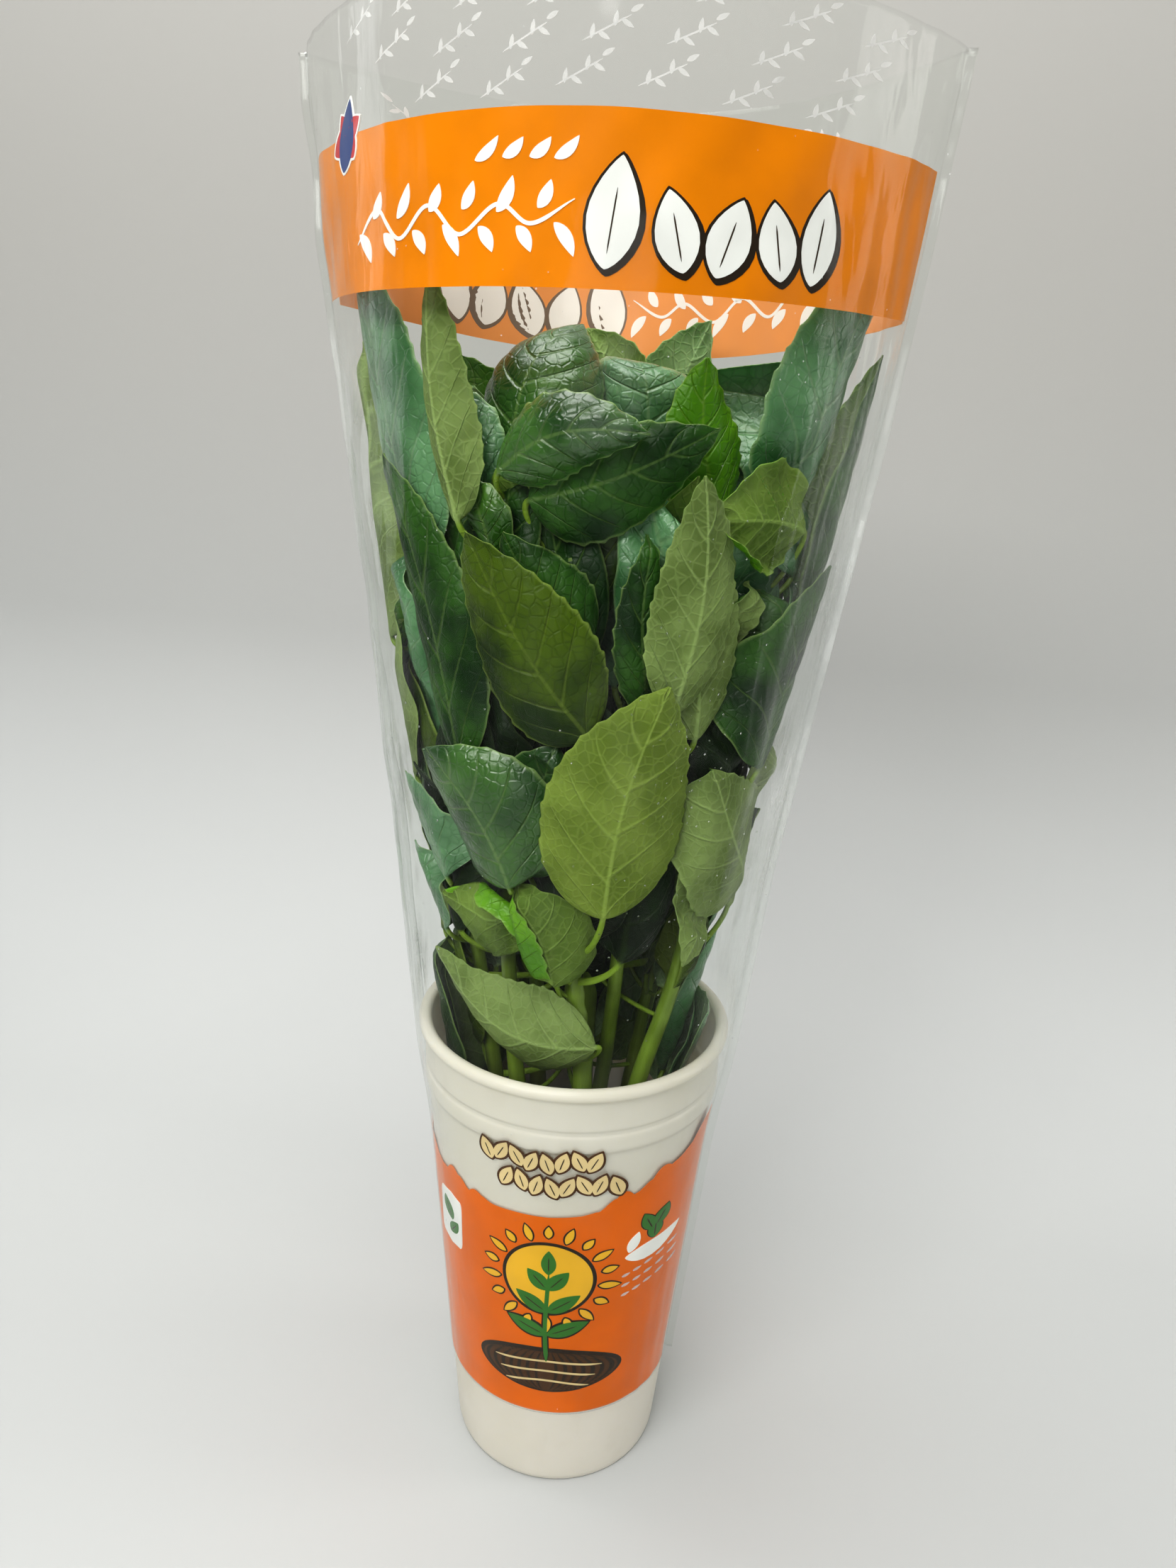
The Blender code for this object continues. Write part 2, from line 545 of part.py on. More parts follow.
def make_stem(stem):
    """A stem as a bevelled curve through its path, tapering to its top."""
    path = stem_path(stem)
    length = float(np.linalg.norm(np.diff(path, axis=0), axis=1).sum())
    count = round(length / STEM_SEGMENT)
    chosen = np.round(np.linspace(0, len(path) - 1, count)).astype(int)
    data = bpy.data.curves.new(stem.name, "CURVE")
    data.dimensions = "3D"
    data.bevel_depth = stem.foot_radius * MM
    data.bevel_resolution = 2
    data.use_fill_caps = True
    spline = data.splines.new("POLY")
    spline.points.add(count - 1)
    for place, index in zip(spline.points, chosen):
        place.co = (*path[index], 1)
        place.radius = stem_radius(stem, index / (len(path) - 1)) / data.bevel_depth
    return add_object(stem.name, data, STEM_GREEN)


def make_plants():
    """All stems, and all leaves laid in order from the film inwards."""
    stems = {stem.name: stem for stem in STEMS}
    for stem in STEMS:
        make_stem(stem)
    deepest = np.full((MAP_ROWS, MAP_AZIMUTHS), -LAYER_GAP)
    for leaf in LEAVES:
        lattice, half_thickness = leaf_lattice(leaf, stems[leaf.stem], deepest, BLADE_ROWS, BLADE_COLUMNS)
        shell(leaf.name, lattice, half_thickness[:, None, None], leaf.finish)


def main():
    for piece in list(bpy.data.objects):
        bpy.data.objects.remove(piece, do_unlink=True)
    make_cup()
    make_plug_and_roots()
    make_sleeve()
    make_plants()


main()
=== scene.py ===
"""A living bunch of basil in a tall white cup, inside a clear printed film sleeve.

Metres, +Z up, -Y is the front. Azimuths are in degrees about +Z: 0 is the front, 90 is +X.

The plants' routes and the room that the sleeve leaves them are the CAD model's own numbers, so
each detailed leaf lies where its CAD leaf does. Every leaf is drawn on the unrolled wall of the
sleeve and carried onto it, with its teeth, side veins, quilting and midrib in the mesh.
"""

import logging
import math
from dataclasses import dataclass, field
from enum import Enum

import bpy
import numpy as np
from mathutils import Matrix, Vector


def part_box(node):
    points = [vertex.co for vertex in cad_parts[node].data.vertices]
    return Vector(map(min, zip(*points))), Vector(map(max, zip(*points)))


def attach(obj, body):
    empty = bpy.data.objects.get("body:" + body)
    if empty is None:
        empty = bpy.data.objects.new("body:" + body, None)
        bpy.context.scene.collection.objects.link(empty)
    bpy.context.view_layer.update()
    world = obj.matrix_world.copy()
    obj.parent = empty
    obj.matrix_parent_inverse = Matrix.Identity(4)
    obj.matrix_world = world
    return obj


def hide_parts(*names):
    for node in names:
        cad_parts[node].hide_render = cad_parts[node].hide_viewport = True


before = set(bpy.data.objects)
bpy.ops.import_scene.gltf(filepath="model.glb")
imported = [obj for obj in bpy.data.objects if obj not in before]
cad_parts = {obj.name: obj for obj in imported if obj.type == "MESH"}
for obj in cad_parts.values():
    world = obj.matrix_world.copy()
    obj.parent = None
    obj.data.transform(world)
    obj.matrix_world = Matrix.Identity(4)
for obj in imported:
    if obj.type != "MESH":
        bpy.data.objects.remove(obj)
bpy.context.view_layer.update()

log = logging.getLogger("basil")

Array = np.ndarray
Colour = tuple[float, float, float]
Shown = tuple[int, int, int]
Place = tuple[float, float, float]
Spot = tuple[float, float]
Material = bpy.types.Material
Node = bpy.types.Node
Piece = bpy.types.Object
Socket = bpy.types.NodeSocket
Tree = bpy.types.NodeTree
MM = 0.001


class Slot(Enum):
    """The names of the record's material slots."""

    CUP = "cup_plastic"
    FILM = "clear_film"
    PEAT = "peat"
    STEM = "stem_green"
    UPPER = "leaf_upper"
    UNDER = "leaf_under"


class Facing(Enum):
    """Which film panel a piece belongs to: the sign of its y."""

    FRONT = -1
    BACK = 1


def srgb(red: int, green: int, blue: int) -> Colour:
    """A colour given as it looks on a screen, as the linear light that shaders take."""
    shown = np.array([red, green, blue]) / 255
    linear = np.where(shown <= 0.04045, shown / 12.92, ((shown + 0.055) / 1.055) ** 2.4)
    return tuple(float(value) for value in linear)


def smoothstep(low: float, high: float, value: Array) -> Array:
    """0 below low, 1 above high, and 3t^2 - 2t^3 between them."""
    t = np.clip((value - low) / (high - low), 0, 1)
    return t * t * (3 - 2 * t)


def ripple(seed: int, *places: Array, waves: int = 6, reach: float = 1.0) -> Array:
    """Soft noise of about -1 to 1: a sum of sines of the places in seeded directions and phases.

    Args:
        seed: Names the draw.
        places: The coordinates, already scaled so that a wave is about 1 long.
        waves: How many sines are added.
        reach: The spread of their frequencies.

    Returns:
        The noise, in the places' own shape.
    """
    draw = np.random.default_rng(seed)
    total = 0.0
    for _ in range(waves):
        pull = draw.normal(0, reach, len(places))
        phase = draw.uniform(0, 2 * math.pi)
        total = total + np.sin(2 * math.pi * sum(p * k for p, k in zip(places, pull)) + phase)
    return total / math.sqrt(waves)


# ---------------------------------------------------------------- surfaces into meshes


def grid_quads(rows: int, columns: int, wrap: bool = False) -> Array:
    """Corner indices of a grid's quads, wound so that the normal is d/drow x d/dcolumn."""
    index = np.arange(rows * columns).reshape(rows, columns)
    if wrap:
        index = np.concatenate([index, index[:, :1]], axis=1)
    corners = [index[:-1, :-1], index[1:, :-1], index[1:, 1:], index[:-1, 1:]]
    return np.stack(corners, axis=-1).reshape(-1, 4)


def capped_faces(rows: int, sides: int) -> tuple[Array, Array]:
    """Faces of a closed tube whose points are rings, then one point for each end.

    Returns:
        The quads between the rings, and the triangles at the two ends.
    """
    first = np.arange(sides)
    last = first + (rows - 1) * sides
    low = np.stack([np.full(sides, rows * sides), np.roll(first, -1), first], axis=-1)
    high = np.stack([np.full(sides, rows * sides + 1), last, np.roll(last, -1)], axis=-1)
    return grid_quads(rows, sides, wrap=True)[:, ::-1], np.concatenate([low, high])


def grid_normals(points: Array) -> Array:
    """Unit normals of a grid of points: the cross product of its two differences."""
    normals = np.cross(np.gradient(points, axis=0), np.gradient(points, axis=1))
    return normals / np.maximum(np.linalg.norm(normals, axis=-1, keepdims=True), 1e-12)


NO_TRIANGLES = np.zeros((0, 3), int)


@dataclass
class Skin:
    """Closed surfaces gathered into one mesh, with values kept at each point."""

    points: list[Array] = field(default_factory=list)
    quads: list[Array] = field(default_factory=list)
    triangles: list[Array] = field(default_factory=list)
    values: dict[str, list[Array]] = field(default_factory=dict)
    count: int = 0

    def add(self, points: Array, quads: Array, triangles: Array = NO_TRIANGLES, **values: Array) -> None:
        """Take one surface.

        Args:
            points: Its points, (n, 3).
            quads: Corner indices, (m, 4).
            triangles: Corner indices, (k, 3).
            values: Named numbers, (n,), or vectors, (n, 3), for the points.
        """
        self.points.append(points)
        self.quads.append(quads + self.count)
        self.triangles.append(triangles + self.count)
        for name, value in values.items():
            self.values.setdefault(name, []).append(value)
        self.count += len(points)

    def slab(self, grid: Array, out: Array | float, back: Array | float, **values: Array) -> None:
        """Take a closed thin sheet about a grid of points.

        The outer side is the grid moved along its normals by out, the inner side by back the
        other way, and a rim of quads joins them round the edge.

        Args:
            grid: The middle surface, (rows, columns, 3).
            out: Distance to the outer side.
            back: Distance to the inner side.
            values: Numbers or vectors on the grid, kept alike on both sides. A pair gives the
                outer and the inner side's own.
        """
        rows, columns = grid.shape[:2]
        normals = grid_normals(grid)
        both = np.concatenate([
            (grid + normals * np.asarray(out)[..., None]).reshape(-1, 3),
            (grid - normals * np.asarray(back)[..., None]).reshape(-1, 3),
        ])
        index = np.arange(rows * columns).reshape(rows, columns)
        under = rows * columns
        face = grid_quads(rows, columns)
        rim = np.concatenate([index[0, :-1], index[:-1, -1], index[-1, :0:-1], index[:0:-1, 0]])
        after = np.roll(rim, -1)
        edge = np.stack([rim, after, after + under, rim + under], axis=-1)
        doubled = {}
        for name, value in values.items():
            outer, inner = value if isinstance(value, tuple) else (value, value)
            wide = (-1, 3) if np.ndim(outer) > 2 else (-1,)
            doubled[name] = np.concatenate([outer.reshape(wide), inner.reshape(wide)])
        self.add(both, np.concatenate([face, face[:, ::-1] + under, edge]), **doubled)

    def tube(self, path: Array, radius: Array, sides: int, facet: float) -> None:
        """Take a closed tube along a path that runs mostly upwards.

        Its section is a circle with a share of cos 4a added, which squares it when facet > 0.
        The frame at each place is the path's direction, its product with +X, and the third.

        Args:
            path: The centreline, (rows, 3).
            radius: The radius at each place.
            sides: Points round the section.
            facet: How square the section is.
        """
        along = np.gradient(path, axis=0)
        along /= np.linalg.norm(along, axis=1, keepdims=True)
        ahead = np.cross(along, (1.0, 0.0, 0.0))
        ahead /= np.linalg.norm(ahead, axis=1, keepdims=True)
        aside = np.cross(ahead, along)
        turn = np.linspace(0, 2 * math.pi, sides, endpoint=False)
        reach = radius[:, None] * (1 + facet * np.cos(4 * turn))
        ring = (np.cos(turn)[:, None] * aside[:, None] + np.sin(turn)[:, None] * ahead[:, None])
        points = (path[:, None] + reach[..., None] * ring).reshape(-1, 3)
        self.add(np.concatenate([points, path[:1], path[-1:]]), *capped_faces(len(path), sides))

    def lathe(self, profile: Array, steps: int) -> None:
        """Take a solid turned about +Z from (radius, height) points that run from axis to axis.

        The profile runs along the underside outwards, up the outside and back inwards.
        """
        turn = np.linspace(0, 2 * math.pi, steps, endpoint=False)
        ring = profile[1:-1]
        points = np.stack(np.broadcast_arrays(
            ring[:, :1] * np.cos(turn), ring[:, :1] * np.sin(turn), ring[:, 1:]), axis=-1)
        poles = np.array([[0, 0, profile[0, 1]], [0, 0, profile[-1, 1]]])
        self.add(np.concatenate([points.reshape(-1, 3), poles]), *capped_faces(len(ring), steps))

    def beads(self, centres: Array, across: Array, radii: Array, squash: float) -> None:
        """Take many small closed balls, flattened along one direction.

        Args:
            centres: Their centres, (n, 3).
            across: The direction along which each is flattened, (n, 3).
            radii: Their radii, (n,).
            squash: Thickness over width.
        """
        sides, rings = 7, 3
        up = across / np.linalg.norm(across, axis=1, keepdims=True)
        one = np.cross(up, (0.31, 0.22, 0.93))
        one /= np.linalg.norm(one, axis=1, keepdims=True)
        two = np.cross(up, one)
        turn = np.linspace(0, 2 * math.pi, sides, endpoint=False)
        tilt = np.linspace(-0.5 * math.pi, 0.5 * math.pi, rings + 2)[1:-1]
        flat = np.stack(np.broadcast_arrays(
            np.cos(tilt)[:, None] * np.cos(turn), np.cos(tilt)[:, None] * np.sin(turn),
            np.sin(tilt)[:, None] * squash), axis=-1).reshape(-1, 3)
        ball = np.concatenate([flat, [[0, 0, -squash], [0, 0, squash]]])
        axes = np.stack([one, two, up], axis=1)
        points = centres[:, None] + radii[:, None, None] * np.einsum("kc,ncd->nkd", ball, axes)
        step = (np.arange(len(centres)) * len(ball))[:, None, None]
        quads, triangles = capped_faces(rings, sides)
        self.add(points.reshape(-1, 3), (quads + step).reshape(-1, 4), (triangles + step).reshape(-1, 3))

    def piece(self, name: str, material: Material, sharp: float | None = None) -> Piece:
        """Make the mesh and its object, at the origin and riding on the one body.

        Args:
            name: The piece's name.
            material: Its material.
            sharp: The angle in degrees past which an edge stays sharp.

        Returns:
            The object.
        """
        points, quads, triangles = map(np.concatenate, (self.points, self.quads, self.triangles))
        mesh = bpy.data.meshes.new(name)
        mesh.vertices.add(len(points))
        mesh.vertices.foreach_set("co", points.astype(np.float32).ravel())
        corners = np.concatenate([quads.ravel(), triangles.ravel()])
        sizes = np.concatenate([np.full(len(quads), 4), np.full(len(triangles), 3)])
        mesh.loops.add(len(corners))
        mesh.loops.foreach_set("vertex_index", corners.astype(np.int32))
        mesh.polygons.add(len(sizes))
        starts = np.concatenate([[0], np.cumsum(sizes)[:-1]])
        mesh.polygons.foreach_set("loop_start", starts.astype(np.int32))
        mesh.update(calc_edges=True)
        mesh.validate()
        for label, parts in self.values.items():
            value = np.concatenate(parts).astype(np.float32)
            kind, key = ("FLOAT_VECTOR", "vector") if value.ndim > 1 else ("FLOAT", "value")
            mesh.attributes.new(label, kind, "POINT").data.foreach_set(key, value.ravel())
        mesh.shade_smooth()
        if sharp is not None:
            mesh.set_sharp_from_angle(angle=math.radians(sharp))
        mesh.materials.append(material)
        made = bpy.data.objects.new(name, mesh)
        bpy.context.scene.collection.objects.link(made)
        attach(made, "root")
        log.info("%s: %d points, %d faces", name, len(points), len(sizes))
        return made


# ---------------------------------------------------------------- shading


class Shading:
    """The nodes of one material or node group, with short makers for the usual ones."""

    def __init__(self, tree: Tree) -> None:
        """Keep the tree that the nodes go in."""
        self.tree = tree

    def node(self, kind: str, *inputs: object, **settings: object) -> Node:
        """A node of a kind, its first inputs linked or set in order, and its settings set."""
        made = self.tree.nodes.new(kind)
        for name, value in settings.items():
            setattr(made, name, value)
        for slot, value in zip(made.inputs, inputs):
            self.put(slot, value)
        return made

    def put(self, slot: Socket, value: object) -> None:
        """Link a socket to the slot, or set the slot to a number or a colour."""
        if isinstance(value, Socket):
            self.tree.links.new(value, slot)
        elif isinstance(value, tuple) and slot.type == "RGBA":
            slot.default_value = (*value[:3], 1)
        else:
            slot.default_value = value

    def put_all(self, node: Node, **inputs: object) -> None:
        """Put values in a node's inputs, given by name with an underscore for each space."""
        for name, value in inputs.items():
            self.put(node.inputs[name.replace("_", " ")], value)

    def math(self, operation: str, first: object, second: object = 0.0, clamp: bool = False) -> Socket:
        """The result of one Math node."""
        return self.node("ShaderNodeMath", first, second, operation=operation, use_clamp=clamp).outputs[0]

    def plus(self, first: object, second: object, clamp: bool = False) -> Socket:
        """A sum, which may be kept within 0 to 1."""
        return self.math("ADD", first, second, clamp)

    def less(self, first: object, second: object) -> Socket:
        """The first less the second."""
        return self.math("SUBTRACT", first, second)

    def times(self, first: object, second: object) -> Socket:
        """A product."""
        return self.math("MULTIPLY", first, second)

    def step(self, value: object, low: float, high: float) -> Socket:
        """A smooth step from 0 to 1 as the value goes from low to high."""
        made = self.node("ShaderNodeMapRange", value, low, high, 0.0, 1.0)
        made.interpolation_type = "SMOOTHSTEP"
        return made.outputs[0]

    def parts(self, place: object) -> object:
        """The three coordinates of a place."""
        return self.node("ShaderNodeSeparateXYZ", place).outputs

    def mix(self, share: object, first: object, second: object) -> Socket:
        """Two colours mixed by a share."""
        made = self.tree.nodes.new("ShaderNodeMix")
        made.data_type = "RGBA"
        self.put(made.inputs[0], share)
        self.put(made.inputs[6], first)
        self.put(made.inputs[7], second)
        return made.outputs[2]

    def noise(self, place: object, scale: object, detail: float = 2.0, rough: float = 0.5,
              twist: float = 0.0) -> Socket:
        """Noise of 0 to 1 at a scale in waves per metre."""
        made = self.node("ShaderNodeTexNoise")
        self.put_all(made, Vector=place, Scale=scale, Detail=detail, Roughness=rough, Distortion=twist)
        return made.outputs["Fac"]

    def cells(self, place: object, scale: float, feature: str = "F1") -> Socket:
        """Distance in a cell pattern at a scale in cells per metre."""
        made = self.node("ShaderNodeTexVoronoi", feature=feature)
        self.put_all(made, Vector=place, Scale=scale)
        return made.outputs["Distance"]

    def stretched(self, place: object, scale: Place) -> Socket:
        """A place with each of its coordinates multiplied."""
        made = self.node("ShaderNodeMapping")
        self.put_all(made, Vector=place, Scale=scale)
        return made.outputs[0]

    def bump(self, height: object, depth: float) -> Socket:
        """A normal tilted by a height, whose full step is depth metres."""
        made = self.node("ShaderNodeBump")
        self.put_all(made, Strength=1, Distance=depth, Height=height)
        return made.outputs[0]

    def place(self) -> Socket:
        """Object coordinates, in metres."""
        return self.node("ShaderNodeTexCoord").outputs["Object"]

    def attribute(self, name: str) -> Node:
        """The node that reads a value kept at the points."""
        return self.node("ShaderNodeAttribute", attribute_name=name)

    def group(self, tree: Tree, **inputs: object) -> object:
        """The outputs of a shared effect placed here, with its inputs given by name."""
        made = self.node("ShaderNodeGroup", node_tree=tree)
        self.put_all(made, **inputs)
        return made.outputs

    def mottled(self, mottle: Tree, place: object, first: Colour, second: Colour, broad: float,
                fine: float) -> object:
        """The outputs of the mottle effect: its two colours, and its broad and fine scales."""
        return self.group(mottle, Place=place, First=first, Second=second, Broad=broad, Fine=fine)

    def cover(self, share: object, first: object, second: object) -> None:
        """Make the material's surface a share of the second shader over the first."""
        mixed = self.node("ShaderNodeMixShader", share, first, second).outputs[0]
        self.put(self.tree.nodes["Material Output"].inputs["Surface"], mixed)


def new_material(name: str) -> tuple[Material, Shading, Node]:
    """A material with its Principled shader.

    Returns:
        The material, the maker of its nodes, and the shader.
    """
    made = bpy.data.materials.new(name)
    made.use_nodes = True
    shading = Shading(made.node_tree)
    return made, shading, made.node_tree.nodes["Principled BSDF"]


def new_group(
    name: str, inputs: dict[str, str], outputs: dict[str, str]
) -> tuple[Tree, Shading, Node, Node]:
    """A node group with named sockets.

    Args:
        name: Its name.
        inputs: Socket name to kind: Float, Color or Vector.
        outputs: The same for what it puts out.

    Returns:
        The group, the maker of its nodes, its input node and its output node.
    """
    tree = bpy.data.node_groups.new(name, "ShaderNodeTree")
    for flow, sockets in (("INPUT", inputs), ("OUTPUT", outputs)):
        for label, kind in sockets.items():
            tree.interface.new_socket(label, in_out=flow, socket_type=f"NodeSocket{kind}")
    shading = Shading(tree)
    return tree, shading, shading.node("NodeGroupInput"), shading.node("NodeGroupOutput")


def vein_group() -> Tree:
    """Leaf veins from a point's place on its leaf.

    Across is -1 to 1 from edge to edge and Along 0 to 1 from base to tip. A side vein runs where
    pairs x (along - sweep |across|^curve (1 - fade along)) is a whole number, so it sweeps forward.
    The midrib is where the distance from the middle is small, and the net is a cell pattern.
    """
    tree, s, given, out = new_group(
        "leaf_veins",
        {"Leaf": "Vector", "Place": "Vector", "Pairs": "Float"},
        {"Veins": "Float", "Net": "Float", "Midrib": "Float", "Edge": "Float"},
    )
    parts = s.parts(given.outputs["Leaf"])
    along = parts[0]
    across, aside = (s.math("ABSOLUTE", part) for part in (parts[1], parts[2]))
    sweep = s.times(s.math("POWER", across, VEIN_CURVE), VEIN_SWEEP)
    fade = s.less(1.0, s.times(along, VEIN_FADE))
    start = s.less(along, s.times(sweep, fade))
    other_side = s.times(s.math("GREATER_THAN", parts[1], 0.0), VEIN_STAGGER)
    phase = s.plus(s.times(start, given.outputs["Pairs"]), other_side)
    off = s.math("ABSOLUTE", s.less(s.math("FRACT", s.plus(phase, 0.5)), 0.5))
    wander = s.times(s.noise(given.outputs["Place"], 260), 0.03)
    width = s.plus(0.012, s.times(s.less(1.0, across), 0.03))
    line = s.less(1.0, s.step(s.math("DIVIDE", s.plus(off, wander), width), 0.5, 3.0))
    line = s.times(line, s.step(across, 0.97, 0.75))
    # The rib's width falls from base to tip; the third coordinate is the distance in centimetres.
    rib_width = s.less(0.085, s.times(along, 0.06))
    rib = s.less(1.0, s.step(s.math("DIVIDE", aside, rib_width), 0.35, 1.15))
    line = s.times(line, s.step(along, -0.02, 0.06))
    walls = s.cells(given.outputs["Place"], 330, "DISTANCE_TO_EDGE")
    net = s.less(1.0, s.step(walls, 0.0, 0.14))
    s.put_all(out, Veins=line, Net=net, Midrib=rib, Edge=s.step(across, 0.93, 1.0))
    return tree


def mottle_group() -> Tree:
    """Uneven colour and fine grain: broad noise mixes two colours, and fine noise is the height."""
    tree, s, given, out = new_group(
        "mottle",
        {"Place": "Vector", "First": "Color", "Second": "Color", "Broad": "Float", "Fine": "Float"},
        {"Colour": "Color", "Height": "Float"},
    )
    source = given.outputs
    share = s.step(s.noise(source["Place"], source["Broad"], 3), 0.35, 0.65)
    fine = s.noise(source["Place"], source["Fine"], 4)
    s.put_all(out, Colour=s.mix(share, source["First"], source["Second"]), Height=fine)
    return tree


# ---------------------------------------------------------------- finishes


@dataclass(frozen=True)
class LeafFinish:
    """The colours of one kind of leaf, some with painted shade, sheen or glow in them, and the roughness
    and weight of its upper side's waxy coat.
    """

    name: str
    deep: Shown
    light: Shown
    under: Shown
    under_light: Shown
    gloss: float
    sheen: float

    def material(self, veins: Tree, mottle: Tree) -> Material:
        """The leaf's material, with both its sides.

        The upper side is dark and glossy with sunken veins; the underside is pale and matt with
        raised veins and scattered oil glands. The petiole turns to the stems' green.

        Args:
            veins: The shared vein pattern.
            mottle: The shared uneven colour.

        Returns:
            The material.
        """
        deep, light, under, pale = (
            srgb(*shown) for shown in (self.deep, self.light, self.under, self.under_light)
        )
        made, s, shader = new_material(self.name)
        place = s.place()
        leaf = s.attribute("leaf_place").outputs["Vector"]
        upper = s.attribute("upper_side").outputs["Fac"]
        pattern = s.group(veins, Leaf=leaf, Place=place, Pairs=VEIN_PAIRS)
        above = s.mottled(mottle, place, deep, light, 50.0, 900.0)
        below = s.mottled(mottle, place, under, pale, 60.0, 700.0)
        vein_above = tuple(0.5 * a + 0.5 * b for a, b in zip(light, pale))
        rib_below = tuple(min(1.0, 1.35 * value + 0.02) for value in pale)
        top, low = above["Colour"], below["Colour"]
        tints = (("Veins", 0.45, vein_above), ("Midrib", 0.55, vein_above), ("Net", 0.22, deep))
        for part, share, tint in tints:
            top = s.mix(s.times(pattern[part], share), top, tint)
        for part, share in (("Veins", 0.6), ("Midrib", 0.8), ("Net", 0.25)):
            low = s.mix(s.times(pattern[part], share), low, rib_below)
        glands = s.step(s.cells(place, 800), 0.22, 0.1)
        low = s.mix(s.times(glands, 0.3), low, under)
        colour = s.mix(upper, low, top)
        colour = s.mix(s.times(pattern["Edge"], 0.5), colour, rib_below)
        colour = s.mix(s.step(s.parts(leaf)[0], 0.01, -0.03), colour, STEM_COLOURS[1])
        sign = s.less(1.0, s.times(upper, 2.0))
        relief = s.plus(pattern["Veins"], s.times(pattern["Net"], 0.35))
        relief = s.plus(s.times(relief, sign), s.times(above["Height"], 0.5))
        dented = s.bump(relief, 0.28 * MM)
        rough = s.plus(self.gloss, s.times(above["Height"], 0.14))
        rough = s.plus(rough, s.times(s.less(1.0, upper), 0.2))
        s.put_all(
            shader, Base_Color=colour, Normal=dented, Roughness=rough, Specular_IOR_Level=0.12,
            Subsurface_Weight=0.12, Subsurface_Radius=(0.5, 1.0, 0.15), Subsurface_Scale=1.5 * MM,
            Coat_Weight=s.times(upper, self.sheen), Coat_Roughness=self.gloss, Coat_IOR=1.6,
            Coat_Normal=dented,
        )
        return made


STEM_COLOURS = (srgb(92, 116, 24), srgb(122, 150, 48))

FINISHES = (
    LeafFinish("leaf_deep_green", (16, 44, 12), (50, 90, 28), (88, 112, 52), (118, 142, 80), 0.32, 0.12),
    # The blue-green finish is partly the leaves' own tone and partly painted sheen: its colours are
    # lightened to stand in for the pale bluish sheen of the upper leaves.
    LeafFinish("leaf_blue_green", (58, 102, 60), (104, 148, 104), (104, 132, 86), (132, 158, 110),
               0.25, 0.6),
    LeafFinish("leaf_olive", (24, 46, 4), (72, 94, 14), (96, 116, 40), (118, 138, 58), 0.36, 0.08),
    # The fresh finish is the young leaves' own yellow-green, brightened further as painted light: the glow
    # of light from above and through the leaf on hooded and backlit leaves.
    LeafFinish("leaf_fresh", (76, 130, 6), (116, 172, 18), (84, 108, 40), (110, 134, 60), 0.32, 0.3),
    LeafFinish("leaf_sage", (48, 88, 26), (80, 120, 44), (94, 113, 57), (123, 143, 83), 0.27, 0.6),
    LeafFinish("leaf_waxy", (30, 66, 22), (64, 104, 42), (96, 122, 60), (126, 150, 88), 0.23, 0.75),
    # Painted shade, not a leaf colour: near-black green for leaves deep in the bunch, so the gaps between
    # the outer leaves read as dark shade.
    LeafFinish("leaf_shade", (8, 20, 5), (20, 40, 12), (30, 44, 16), (44, 60, 26), 0.4, 0.05),
)
DEEP, BLUE_AND_SHEEN, OLIVE, FRESH_AND_GLOW, SAGE, WAXY, PAINTED_SHADE = FINISHES


# ---------------------------------------------------------------- the plants, by the CAD model's numbers


ROOM_HEIGHTS = np.array([0, 150, 168, 225, 350, 450]) * MM
ROOM_HALF_WIDTH = np.array([34, 46, 48, 57, 75, 85]) * MM
ROOM_HALF_DEPTH = np.array([34, 46, 48, 54, 60, 63]) * MM
ROOM_ROUNDNESS = np.array([2.0, 2.0, 2.0, 1.9, 1.65, 1.5])
PETIOLE_HALF_WIDTH = 0.9 * MM
PETIOLE_SAG = 0.3
PETIOLE_STEPS = 14
TIP_HALF_WIDTH = 0.35 * MM
BLADE_NEAR_POWER = 0.53
BLADE_FAR_POWER = 0.92
MAP_AZIMUTHS = 180
MAP_STEP_Z = 2 * MM
MAP_ROWS = 240
LAYER_GAP = 2.0 * MM
STIFF_HALF_WIDTH = 4 * MM
SMOOTHING_ROUNDS = 10


def azimuth_point(azimuth: Array, radius: Array, z: Array) -> Array:
    """World point at an azimuth in degrees, a distance from the axis and a height."""
    angle = np.radians(azimuth)
    return np.stack(np.broadcast_arrays(radius * np.sin(angle), -radius * np.cos(angle), z), axis=-1)


def room_radius(azimuth: Array, z: Array) -> Array:
    """How far from the axis the leaves may reach: a superellipse, round in the cup, lens-like above."""
    half_width = np.interp(z, ROOM_HEIGHTS, ROOM_HALF_WIDTH)
    half_depth = np.interp(z, ROOM_HEIGHTS, ROOM_HALF_DEPTH)
    power = np.interp(z, ROOM_HEIGHTS, ROOM_ROUNDNESS)
    angle = np.radians(azimuth)
    aside = np.abs(np.sin(angle) / half_width) ** power
    ahead = np.abs(np.cos(angle) / half_depth) ** power
    return (aside + ahead) ** (-1 / power)


@dataclass(frozen=True)
class Stem:
    """A stem by its places: each is (azimuth, distance from the axis in mm, height in mm)."""

    name: str
    foot_radius: float
    top_radius: float
    places: tuple[Place, ...]

    def path(self, count: int = 60) -> Array:
        """Points along the stem, on a smooth line through its places."""
        azimuth, radius, z = np.array(self.places, float).T
        return line_through(azimuth_point(azimuth, radius * MM, z * MM), count)

    def radius(self, share: Array) -> Array:
        """Its radius in metres, tapering evenly from foot to top."""
        return (self.foot_radius + (self.top_radius - self.foot_radius) * share) * MM


class Side(Enum):
    """The side of a leaf that faces the sleeve."""

    UPPER = 1
    UNDER = 0


UP, UNDER = Side.UPPER, Side.UNDER


